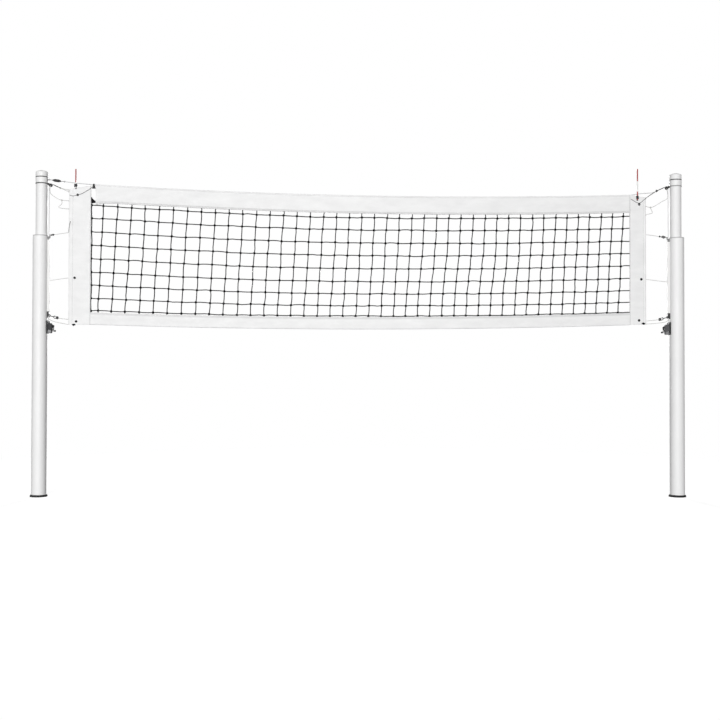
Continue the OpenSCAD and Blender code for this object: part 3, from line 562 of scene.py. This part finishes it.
def add_knot(bm, place, turn):
    """A tight knot: two short lumps of cord that cross."""
    for lean in (0.8, -0.75):
        lump = bmesh.ops.create_icosphere(bm, subdivisions=1, radius=1)
        bmesh.ops.scale(bm, verts=lump["verts"], vec=(0.0120, 0.0062, 0.0086))
        bmesh.ops.rotate(bm, verts=lump["verts"], matrix=Matrix.Rotation(lean + turn, 3, "Y"))
        bmesh.ops.translate(bm, verts=lump["verts"], vec=place)


def weave_net(mat):
    """Upright and level cords that bow a little between their knots."""
    bm = bmesh.new()
    rows = range(len(ROW_SHARES))
    knots = [[knot_place(i, r) for r in rows] for i in range(COLUMNS)]
    for i in range(COLUMNS):
        x, x_end = knots[i][0].x, knots[i][-1].x
        head = Vector((x + 0.002, 0, top_z(x) - TOP_BAND_DROP + TUCK))
        if i == 0:
            head = Vector((x, 0, FIRST_COLUMN_TOP))
        foot = Vector((x_end, 0, bottom_z(x_end) + BOTTOM_BAND_RISE - TUCK))
        tube_mesh(bm, bowed([head] + knots[i] + [foot], i), CORD_R, 6)
    for r in rows:
        ends = [Vector((x, 0, row_z(r, x))) for x in (LEFT_INNER - TUCK, RIGHT_INNER + TUCK)]
        tube_mesh(bm, bowed([ends[0]] + [k[r] for k in knots] + [ends[1]], 100 + r), CORD_R, 6)
    for i in range(COLUMNS):
        for r in rows:
            add_knot(bm, knots[i][r], 0.5 * noise.noise((i * 2.7, r * 1.9, 3.5)))
    gathered_corner(bm)
    finish_piece(as_object("net_cords", bm, smooth=True), mat, "net_cord", NET, "net_mesh")


# ---------------------------------------------------------------- bands
FOLD_R = 0.0045
SKIN_Y = BAND_HALF - SKIN / 2
HEM, HEM_RISE = 0.010, 0.0005  # the turned edge's width, and how much thicker it is
STITCH_PITCH = 0.008
STITCH_R = 0.0005
SEAM_IN = 0.011  # how far in from a fold or an edge a row of stitches runs

# Outer edge, inner edge, foot, head at the outer edge, head at the inner edge, sleeve's width
LEFT_END = (NET_LEFT, LEFT_INNER, bottom_z(NET_LEFT) - 0.008, top_z(NET_LEFT) - 0.052,
            top_z(LEFT_INNER) - 0.012, 0.031)
RIGHT_END = (NET_RIGHT, RIGHT_INNER, bottom_z(NET_RIGHT) - 0.002, top_z(NET_RIGHT) - 0.022,
             top_z(RIGHT_INNER), 0.020)


def fold_profile(height, sleeve=0.0):
    """A folded band's cross-section as side, from -1 to 1, and drop, the way in from the fold.

    It runs from one face's free edge to the fold, round it and out to the other face's edge.
    """
    shares = (1, 0.985, 0.965, 0.945, 0.92, 0.86, 0.78, 0.7, 0.6, 0.5, 0.4, 0.3, 0.2, 0.12)
    drops = [height * share for share in shares]
    if sleeve:
        drops = sorted(drops + [sleeve, sleeve - 0.0015, sleeve + 0.0015, sleeve * 0.5], reverse=True)
    drops = [d for d in drops if d > FOLD_R * 1.5] + [FOLD_R]
    bends = [math.pi * k / 8 for k in range(1, 8)]
    arc = [(-math.cos(bend), FOLD_R - FOLD_R * math.sin(bend)) for bend in bends]
    return [(-1, d) for d in drops] + arc + [(1, d) for d in reversed(drops)]


def pull(reach, along, drop):
    """Creases that run slantwise from a corner where a band is held, dying out with distance along it."""
    fade = math.exp(-reach / 0.28) * min(1, reach / 0.03)
    return 0.0036 * fade * math.sin((along * 0.8 + drop * 2.4) / 0.024)


def off_cords(swell, inset):
    """Keeps the cloth from drawing in over the tucked cords; inset is the way in from its free edge."""
    return swell if swell > 0 else swell * min(1, max(0, (inset - TUCK) / 0.02))


def top_band_point(x, side, drop):
    """Where the top band's cloth lies: it swells between its edges and is creased near its ends."""
    share = drop / TOP_BAND_DROP
    belly = max(0, math.sin(math.pi * min(1, share)))
    from_left, from_right = x - TOP_BAND_LEFT, TOP_BAND_RIGHT - x
    swell = 0.0042 * noise.noise((x * 2.6, side * 3.0, share * 2.2)) + 0.0012
    swell += pull(from_left, from_left, drop) + 0.8 * pull(from_right, -from_right, drop)
    swell = off_cords(swell, TOP_BAND_DROP - drop)
    hem = HEM_RISE if drop > TOP_BAND_DROP - HEM else 0
    edge = 0.0012 * noise.noise((x * 6.0, 4.0, side)) * share
    droop = 0.019 * share ** 3 * math.exp(-from_left / 0.055)
    return Vector((x, side * (SKIN_Y + swell * belly + hem), top_z(x) - drop - edge - droop))


def bottom_band_point(x, side, rise):
    """Where the bottom band's cloth lies: it swells and is creased as the top band is."""
    share = rise / BOTTOM_BAND_RISE
    belly = max(0, math.sin(math.pi * min(1, share)))
    from_left, from_right = x - LEFT_INNER, RIGHT_INNER - x
    swell = 0.0036 * noise.noise((x * 2.9, side * 3.0 + 9, share * 2.0)) + 0.0010
    swell += 0.7 * pull(from_left, from_left, -rise) + 0.7 * pull(from_right, -from_right, -rise)
    swell = off_cords(swell, BOTTOM_BAND_RISE - rise)
    hem = HEM_RISE if rise > BOTTOM_BAND_RISE - HEM else 0
    edge = 0.0012 * noise.noise((x * 6.0, 14.0, side)) * share
    return Vector((x, side * (SKIN_Y + swell * belly + hem), bottom_z(x) + rise + edge))


def side_band_point(end, t, side, drop):
    """Where a side band's cloth lies: t goes from 0 at its foot to 1 at its head, drop inwards."""
    outer, inner, foot, head_outer, head_inner, sleeve = end
    x = outer + math.copysign(drop, inner - outer)
    share = drop / abs(inner - outer)
    z = foot + (head_outer + (head_inner - head_outer) * share - foot) * t
    belly = math.sin(math.pi * min(1, share)) * math.sin(math.pi * min(1, t * 0.98 + 0.01)) ** 0.5
    quiet = min(1, min(math.hypot(x - hole_x, z - hole_z) for hole_x, hole_z in EYELETS) / 0.05)
    swell = 0.0030 * noise.noise((share * 1.6, side * 3.0 + outer, z * 5.5))
    swell += 0.0014 * math.sin(z * 23 + 3 * share)
    swell = off_cords(swell, abs(inner - outer) - drop)
    tube = 0.0011 * math.sin(math.pi * drop / sleeve) if drop < sleeve else 0
    seam = -0.0007 * math.exp(-((drop - sleeve) / 0.0012) ** 2)
    return Vector((x, side * (SKIN_Y + swell * belly * quiet ** 2 + tube + seam), z))


def cloth(name, profile, count, hem, place):
    """A folded sheet with the thickness of its cloth: place puts (t, side, drop) on its surface.

    The attribute hem is 1 along the free edges, where the cloth is turned over and sewn; the material
    paints shade there.
    """
    bm = bmesh.new()
    bmesh.ops.create_grid(bm, x_segments=count, y_segments=len(profile) - 1, size=0.5)
    hem_shade = bm.verts.layers.float.new("hem")
    for v in bm.verts:
        side, drop = profile[round((v.co.y + 0.5) * (len(profile) - 1))]
        v[hem_shade] = min(1, max(0, (drop - profile[0][1] + hem) / 0.004))
        v.co = place(v.co.x + 0.5, side, drop)
    bmesh.ops.recalc_face_normals(bm, faces=bm.faces)
    bmesh.ops.solidify(bm, geom=bm.faces[:], thickness=SKIN)
    piece = as_object(name, bm, smooth=True)
    piece.data.set_sharp_from_angle(angle=math.radians(50))
    return piece


def long_band(name, x0, x1, height, point, mat, node):
    """The top or the bottom band, from x0 to x1; point says where its cloth lies."""
    piece = cloth(name, fold_profile(height), 240, 0.020,
                  lambda t, side, drop: point(x0 + (x1 - x0) * t, side, drop))
    finish_piece(piece, mat, "band_fabric", NET, node)


def side_band(name, end, mat, node):
    """A band down one end of the net, with a sewn sleeve along its outer fold and eyelet holes."""
    outer, inner, foot, head_outer, head_inner, sleeve = end
    width = abs(inner - outer)
    piece = cloth(name, fold_profile(width, sleeve), 110, 0.006,
                  lambda t, side, drop: side_band_point(end, t, side, drop))
    bm = bmesh.new()
    for x, z in EYELETS:
        if min(outer, inner) < x < max(outer, inner):
            place = Matrix.Translation((x, 0, z)) @ Matrix.Rotation(math.pi / 2, 4, "X")
            bmesh.ops.create_cone(bm, cap_ends=True, segments=16, radius1=EYELET_R, radius2=EYELET_R,
                                  depth=0.04, matrix=place)
    holes = as_object("punch", bm)
    cut = piece.modifiers.new("eyelet_holes", "BOOLEAN")
    cut.operation, cut.object, cut.solver = "DIFFERENCE", holes, "EXACT"
    cut_mesh = bpy.data.meshes.new_from_object(piece.evaluated_get(bpy.context.evaluated_depsgraph_get()))
    piece.modifiers.clear()
    piece.data = cut_mesh
    bpy.data.objects.remove(holes)
    finish_piece(piece, mat, "band_fabric", NET, node)


def add_stitch(bm, start, end, across):
    """A short thread with four sides."""
    out = Vector((0, STITCH_R, 0))
    rings = [[bm.verts.new(p + d) for d in (out, across, -out, -across)] for p in (start, end)]
    for k in range(4):
        bm.faces.new((rings[0][k], rings[0][k - 1], rings[1][k - 1], rings[1][k]))
    bm.faces.new(rings[0])
    bm.faces.new(rings[1][::-1])


def stitch_rows(name, rows, mat):
    """Sewn rows: each is a length, a direction across it and a place for every share of its length."""
    bm = bmesh.new()
    for length, across, place in rows:
        count = int(length / STITCH_PITCH)
        for k in range(count):
            add_stitch(bm, place((k + 0.15) / count), place((k + 0.85) / count), across * STITCH_R)
    bmesh.ops.recalc_face_normals(bm, faces=bm.faces)
    finish_piece(as_object(name, bm), mat, "band_fabric", NET)


def sew_bands(mat):
    """Rows of stitches beside the bands' folds, hems and sleeves, on both faces."""
    def proud(p, side):
        return p + Vector((0, side * STITCH_R, 0))

    def level(point, x0, x1, side, drop):
        return x1 - x0, Vector((0, 0, 1)), lambda t: proud(point(x0 + (x1 - x0) * t, side, drop), side)

    def upright(end, side, drop):
        foot, head = end[2:4]
        return head - foot, Vector((1, 0, 0)), lambda t: proud(side_band_point(end, t, side, drop), side)

    rows = []
    for side in (-1, 1):
        for drop in (SEAM_IN, TOP_BAND_DROP - SEAM_IN):
            rows.append(level(top_band_point, TOP_BAND_LEFT + 0.006, TOP_BAND_RIGHT - 0.006, side, drop))
        for rise in (SEAM_IN, BOTTOM_BAND_RISE - SEAM_IN):
            rows.append(level(bottom_band_point, LEFT_INNER + 0.01, RIGHT_INNER - 0.01, side, rise))
        for end in (LEFT_END, RIGHT_END):
            outer, inner, sleeve = end[0], end[1], end[5]
            rows += [upright(end, side, drop) for drop in (sleeve, abs(inner - outer) - 0.006)]
    stitch_rows("band_stitches", rows, mat)


# ---------------------------------------------------------------- cords and cables
def rope(name, points, radius, mat, slot, body, node, steps=8):
    """A cord along a smooth route; with no body it stays unattached."""
    line = smooth_route(points, steps)
    bm = bmesh.new()
    tube_mesh(bm, line, radius, 10)
    piece = finish_piece(as_object(name, bm, smooth=True), mat, slot, body, node)
    return piece


def tie(name, points, mat, node):
    """A cord of the net's rigging."""
    rope(name, points, TIE_R, mat, "white_cord", NET, node)


def side_tie(name, points, mat, node):
    """A cord from a fitting on the lower tube to the net's edge; it has no body, and its place is baked
    into its mesh.
    """
    steps = max(8, 24 // (len(points) - 1))
    piece = rope(name, points, TIE_R, mat, "white_cord", None, node, steps)
    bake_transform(piece)


def bow_end(side, degrees):
    """A place at a turn round the top hook's bow, whose middle lies 48 mm down the hook's slope."""
    slope, turn, bow_r = math.radians(25), math.radians(degrees), 0.0114
    x = 0.048 + bow_r * math.cos(turn)
    return at(side, 0.1012 + x * math.cos(slope), -bow_r * math.sin(turn), 2.4354 - x * math.sin(slope))


def bow_cord(side, name, degrees, z, mat, node):
    """A cord from the top hook's bow straight to the net's edge."""
    tie(name, [bow_end(side, degrees), at(side, EDGE_IN[side], 0, z)], mat, node)


def cable_over_head(side, name, mat, node):
    """The cable's upper end: over the head sheave and down to the top hook."""
    turns = [math.radians(180 - 115 * k / 7) for k in range(8)]
    over = [(SHEAVE_IN + GROOVE_R * math.cos(a), 0, SHEAVE_Z + GROOVE_R * math.sin(a)) for a in turns]
    route = beside(side, (CABLE_IN, 0, HEAD_Z), *over, (0.0931, 0, 2.4392))
    rope(name, route, CABLE_R, mat, "cable_steel", NET, node, steps=3)


def rig_left(cord, worn, cable):
    """Cords between the left post's head and the net's upper corner."""
    node = "left_top_ties"
    cable_over_head(LEFT, "left_head_cable", cable, node)
    tie("left_slack_cord", beside(
        LEFT, (0.078, -0.0098, 2.4297), (0.074, -0.0098, 2.394), (0.086, -0.008, 2.359),
        (0.153, -0.004, 2.318), (EDGE_IN[LEFT], 0, 2.312)), cord, node)
    tie("left_slack_loop", beside(
        LEFT, (0.166, -0.0032, 2.314), (0.164, -0.004, 2.285), (0.140, -0.003, 2.262),
        (0.170, -0.002, 2.251), (EDGE_IN[LEFT], 0, 2.248)), cord, node)
    bow_cord(LEFT, "left_upper_bow_cord", 12, 2.396, cord, node)
    bow_cord(LEFT, "left_lower_bow_cord", -12, 2.382, cord, node)
    tie("left_drape", beside(
        LEFT, (0.226, FACE_Y, 2.356), (0.254, RIM_Y, 2.348), (0.289, RIM_Y, 2.3565),
        (0.324, RIM_Y, 2.368), (0.371, FACE_Y, 2.395), (0.409, FACE_Y, 2.422)), worn, node)


def rig_right(cord, worn, cable):
    """Cords between the right post's head and the net's upper corner."""
    node = "right_top_ties"
    cable_over_head(RIGHT, "right_head_cable", cable, node)
    tie("right_slack_cord", beside(
        RIGHT, (0.078, -0.0098, 2.4297), (0.074, -0.0098, 2.354), (0.118, -0.008, 2.324),
        (0.197, -0.004, 2.279), (EDGE_IN[RIGHT], 0, 2.288)), cord, node)
    tie("right_slack_loop", beside(
        RIGHT, (0.209, -0.0028, 2.278), (0.192, -0.004, 2.240), (0.199, -0.003, 2.232),
        (EDGE_IN[RIGHT], 0, 2.221)), cord, node)
    bow_cord(RIGHT, "right_bow_cord", -32, 2.352, cord, node)
    tie("right_drape", [bow_end(RIGHT, 25)] + beside(
        RIGHT, (0.197, FACE_Y, 2.386), (0.246, RIM_Y, 2.350), (0.299, RIM_Y, 2.312),
        (0.363, FACE_Y, 2.343)), worn, node)


def rig_sides(cord, worn):
    """Three ties and the low cord between each post's fittings and the net's edge."""
    for side, name, collar_z, middle_z, low_z, low in (
            (LEFT, "left", 2.062, 1.706, 1.342,
             ((0.080, -0.018, 1.380), (0.120, -0.020, 1.362), (0.190, -0.009, 1.348))),
            (RIGHT, "right", 2.064, 1.710, 1.358,
             ((0.080, -0.017, 1.380), (0.120, -0.017, 1.368), (0.200, -0.009, 1.360)))):
        node, edge = name + "_side_ties", EDGE_IN[side]
        side_tie(name + "_collar_tie", beside(
            side, (COLLAR_IN, 0, COLLAR_Z), (0.0975, 0, 2.044), (edge, 0, collar_z)), cord, node)
        if side == LEFT:
            tie("left_fold_cord", beside(
                side, (edge - 0.0005, -0.001, collar_z + 0.003), (0.2225, RIM_Y, 2.078),
                (0.2255, RIM_Y, 2.110), (0.2345, RIM_Y, 2.150)), worn, node)
        side_tie(name + "_middle_tie", beside(
            side, (0.0758, 0, middle_z - 0.020), (edge, 0, middle_z)), cord, node)
        side_tie(name + "_hook_tie", beside(side, (0.1404, 0, 1.392), (edge, 0, 1.381)), cord, node)
        side_tie(name + "_low_cord", beside(
            side, (0.068, -0.0153, 1.402), *low, (edge, 0, low_z)), cord, node)


def string_net(cable, white_rope):
    """The tension cable along the net's top, from the turnbuckle to the right hook, and the foot rope."""
    in_fold = 0.00455  # from the band's fold to the middle of the cable or the rope
    xs = [-2.081 + 4.204 * k / 30 for k in range(31)]
    line = [Vector((-2.3094, 0, 2.4610)), Vector((-2.2254, 0, 2.4510))]
    line += [Vector((x, 0, top_z(x) - in_fold)) for x in xs]
    line += [Vector((2.212, 0, 2.3885)), Vector((2.307, 0, 2.3945)), Vector((2.3454, 0, 2.4105))]
    rope("top_cable_line", line, ROPE_R, cable, "white_cord", NET, "top_cable", steps=2)
    xs = [NET_LEFT + 0.008 + (NET_RIGHT - NET_LEFT - 0.016) * k / 36 for k in range(37)]
    line = [Vector((x, 0, bottom_z(x) + in_fold)) for x in xs]
    rope("bottom_rope_line", line, ROPE_R, white_rope, "white_cord", NET, "bottom_rope",
         steps=1)


def tension_cable(side, name, mat):
    """The cable from the winch drum up to the head sheave."""
    heights = [DRUM_Z + (HEAD_Z - DRUM_Z) * k / 20 for k in range(21)]
    piece = rope(name + "_cable_run", [at(side, CABLE_IN, 0, z) for z in heights], CABLE_R, mat,
                 "cable_steel", None, name + "_tension_cable", steps=1)
    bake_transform(piece)


def overhand(bm, place, size, radius, turn):
    """An overhand knot, pulled tight: its loop is about size across."""
    loop = []
    for k in range(33):
        t = 2 * math.pi * k / 32
        p = Vector((math.sin(t) + 2 * math.sin(2 * t), 0.8 * math.sin(3 * t),
                    math.cos(t) - 2 * math.cos(2 * t)))
        loop.append(Matrix.Rotation(turn, 3, "Y") @ p * (size / 6) + Vector(place))
    tube_mesh(bm, loop, radius, 6)


def lashing(bm, centre, axis, wire_r, turns=2.5):
    """Cord wound round a wire."""
    axis = Vector(axis).normalized()
    across = axis.orthogonal().normalized()
    third = axis.cross(across)
    steps = int(turns * 14)
    line = []
    for k in range(steps + 1):
        a = 2 * math.pi * turns * k / steps
        lift = (k / steps - 0.5) * turns * TIE_R * 2.05
        out = across * math.cos(a) + third * math.sin(a)
        line.append(Vector(centre) + axis * lift + out * (wire_r + TIE_R))
    tube_mesh(bm, line, TIE_R, 8)


HOOK_WIRE_R, EYE_WIRE_R = 0.0028, 0.0022  # what the lashings are wound round


def tie_net_knots(white, black):
    """Knots and lashings that hang on the net and on the top hooks."""
    bm = bmesh.new()
    for side in (LEFT, RIGHT):
        lashing(bm, at(side, 0.1519, 0, 2.4118), (0, 1, 0), HOOK_WIRE_R)
    overhand(bm, at(LEFT, 0.166, -0.0036, 2.315), 0.011, TIE_R, 0.4)
    overhand(bm, at(RIGHT, 0.208, -0.0036, 2.279), 0.011, TIE_R, 1.1)
    for side, u, heights in ((LEFT, 0.222, (2.396, 2.382, 2.312, 2.248)),
                             (RIGHT, 0.244, (2.352, 2.288, 2.221))):
        for z in heights:
            overhand(bm, at(side, u, 0, z), 0.010, TIE_R, 0.3 * u * 10)
    finish_piece(as_object("cord_knots", bm, smooth=True), white, "white_cord", NET)
    bm = bmesh.new()
    for side, u, z, turn in ((LEFT, 0.262, 1.339, 0.0), (RIGHT, 0.262, 1.360, 0.6)):
        overhand(bm, at(side, u, -0.0095, z), 0.015, 0.0027, turn)
        overhand(bm, at(side, u + 0.010, -0.0085, z + 0.001), 0.011, 0.0027, turn + 0.8)
    for x, z in EYELETS[1:3] + EYELETS[4:]:
        overhand(bm, (x, -0.0088, z), 0.013, 0.0024, x)
    overhand(bm, at(RIGHT, 0.156, -0.001, 2.4105), 0.015, 0.0032, 0.4)
    finish_piece(as_object("black_knots", bm, smooth=True), black, "net_cord", NET)


def tie_post_knots(white, black):
    """Knots and lashings on the bottom hooks and the collar eyes, which stay on the posts."""
    bm = bmesh.new()
    for side in (LEFT, RIGHT):
        overhand(bm, at(side, 0.1355, -0.002, 1.3938), 0.018, 0.0038, 0.5 * side)
    finish_piece(as_object("hook_knots", bm, smooth=True), black, "net_cord", POSTS)
    bm = bmesh.new()
    for side in (LEFT, RIGHT):
        hook = at(side, 0.1371, 0, 1.3929)
        lashing(bm, hook, at(side, 0.1371 + 0.2756, 0, 1.3929 + 0.9613) - hook, HOOK_WIRE_R)
        eye_slope = at(side, 0.0803 + 0.2, 0, 2.24) - at(side, 0.0803, 0, 2.04)
        lashing(bm, at(side, 0.0803, 0, 2.0412), eye_slope, EYE_WIRE_R, 1.5)
    finish_piece(as_object("low_lashings", bm, smooth=True), white, "white_cord", POSTS)


def tie_collar_knots(black, worn):
    """Knots and windings along the collar ties: each is inwards, y, z, size, cord's radius and turn."""
    for name, side, mat, slot, knots in (
            ("left_collar_knot", LEFT, black, "net_cord", ((0.1005, 0, 2.045, 0.013, 0.0026, 0.3),)),
            ("right_collar_knot", RIGHT, black, "net_cord", ((0.133, 0, 2.0487, 0.012, 0.0026, 0.9),)),
            ("left_collar_winding", LEFT, worn, "white_cord", (
                (0.0885, -0.001, 2.0425, 0.012, 0.0028, 0.2),)),
            ("right_collar_winding", RIGHT, worn, "white_cord", (
                (0.1000, -0.001, 2.0445, 0.020, 0.0036, 0.5),
                (0.1140, -0.001, 2.0462, 0.014, 0.0030, 1.2)))):
        bm = bmesh.new()
        for u, y, z, size, radius, turn in knots:
            overhand(bm, at(side, u, y, z), size, radius, turn)
        piece = finish_piece(as_object(name, bm, smooth=True), mat, slot, None)
        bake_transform(piece)


# ---------------------------------------------------------------- build
place_camera()
light_room()
lay_floor()

WHITE = (0.90, 0.90, 0.90)
BLACK = (0.018, 0.018, 0.019)
post_white = powder_coat("post_white", WHITE, 0.5)
cap_white = powder_coat("cap_white", WHITE, 0.45)
guard_white = powder_coat("guard_white", (0.80, 0.80, 0.79), 0.42)
enamel = black_enamel("black_enamel", BLACK, 0.4)
rubber = moulded("black_rubber", (0.02, 0.02, 0.02), 0.75)
plastic = moulded("black_plastic", (0.022, 0.022, 0.023), 0.5)
guide_plastic = moulded("guide_plastic", (0.6, 0.6, 0.6), 0.6)
dark_casting = cast_metal("black_casting", (0.022, 0.022, 0.024), 0.55)
casting = cast_metal("grey_casting", (0.075, 0.075, 0.08), 0.5)
steel = turned_steel("turned_steel", (0.16, 0.16, 0.165), 0.6)
ring_grey = lugged_ring("left_ring_grey", (0.14, 0.14, 0.14), BLACK)
ring_pale = lugged_ring("right_ring_grey", (0.40, 0.40, 0.40), BLACK)
eye_grey = black_enamel("eye_grey", (0.2, 0.2, 0.2), 0.5)
# The collar bushes' grey is painted shade, for the dark line at the step where the upper tube enters the
# lower tube.
bush_shade_grey = moulded("bush_shade_grey", (0.55, 0.55, 0.55), 0.5)
net_black = laid_cord("net_cord_black", (0.011, 0.011, 0.012), 0.9, sheen=0.1)
cord_white = laid_cord("tie_cord_white", (0.66, 0.66, 0.64), 0.75)
cord_worn = laid_cord("worn_cord_grey", (0.17, 0.17, 0.17), 0.8)
cable_grey = laid_cord("steel_cable", (0.72, 0.73, 0.74), 0.4, lay=1.6, depth=0.0003)
band_white = coated_cloth("band_white", (0.875, 0.875, 0.875), 0.55)
thread = laid_cord("sewing_thread", (0.60, 0.60, 0.59), 0.7)
RED, ROD_WHITE = (0.34, 0.018, 0.014), (0.86, 0.86, 0.84)

# The nodes whose own shape shows, by finish
for mat, names in {
    post_white: ("left_lower_tube", "right_lower_tube", "left_upper_tube", "right_upper_tube"),
    cap_white: ("left_cap", "right_cap"),
    bush_shade_grey: ("collar_bushes",),
    ring_grey: ("left_hook_ring",),
    ring_pale: ("right_hook_ring",),
    guard_white: ("cable_guards",),
    enamel: ("left_eye_plate", "right_eye_plate", "left_winch_base", "right_winch_base",
             "left_top_hook", "right_top_hook", "left_bottom_hook", "right_bottom_hook",
             "left_top_gate", "right_top_gate", "left_bottom_gate", "right_bottom_gate",
             "left_crank", "right_crank", "turnbuckle_body"),
    rubber: ("cap_bands",),
    plastic: ("left_crank_knob", "right_crank_knob", "left_antenna_clamp", "right_antenna_clamp",
              "corner_clip", "eyelets", "left_sheave", "right_sheave"),
    guide_plastic: ("guide_rings",),
    dark_casting: ("left_winch_housing",),
    casting: ("right_winch_housing",),
    steel: ("left_winch_drum", "right_winch_drum", "post_screws", "turnbuckle_ends"),
    eye_grey: ("collar_eyes",),
    banded_rod("left_rod", RED, ROD_WHITE, (2.454,)): ("left_antenna",),
    banded_rod("right_rod", RED, ROD_WHITE, (2.403, 2.482)): ("right_antenna",),
}.items():
    for name in names:
        nodes[name].data.materials.clear()
        nodes[name].data.materials.append(mat)

foot_ring("left_foot", LEFT, rubber)
foot_ring("right_foot", RIGHT, rubber)
rig_left(cord_white, cord_worn, cable_grey)
rig_right(cord_white, cord_worn, cable_grey)
rig_sides(cord_white, cord_worn)
string_net(cable_grey, cord_white)
tension_cable(LEFT, "left", cable_grey)
tension_cable(RIGHT, "right", cable_grey)
tie_net_knots(cord_white, net_black)
tie_post_knots(cord_white, net_black)
tie_collar_knots(net_black, cord_worn)
weave_net(net_black)
long_band("top_band_cloth", TOP_BAND_LEFT, TOP_BAND_RIGHT, TOP_BAND_DROP, top_band_point,
          band_white, "top_band")
long_band("bottom_band_cloth", LEFT_INNER + 0.001, RIGHT_INNER - 0.001, BOTTOM_BAND_RISE, bottom_band_point,
          band_white, "bottom_band")
side_band("left_band_cloth", LEFT_END, band_white, "left_side_band")
side_band("right_band_cloth", RIGHT_END, band_white, "right_side_band")
sew_bands(thread)

bpy.context.scene.view_settings.view_transform = "Standard"
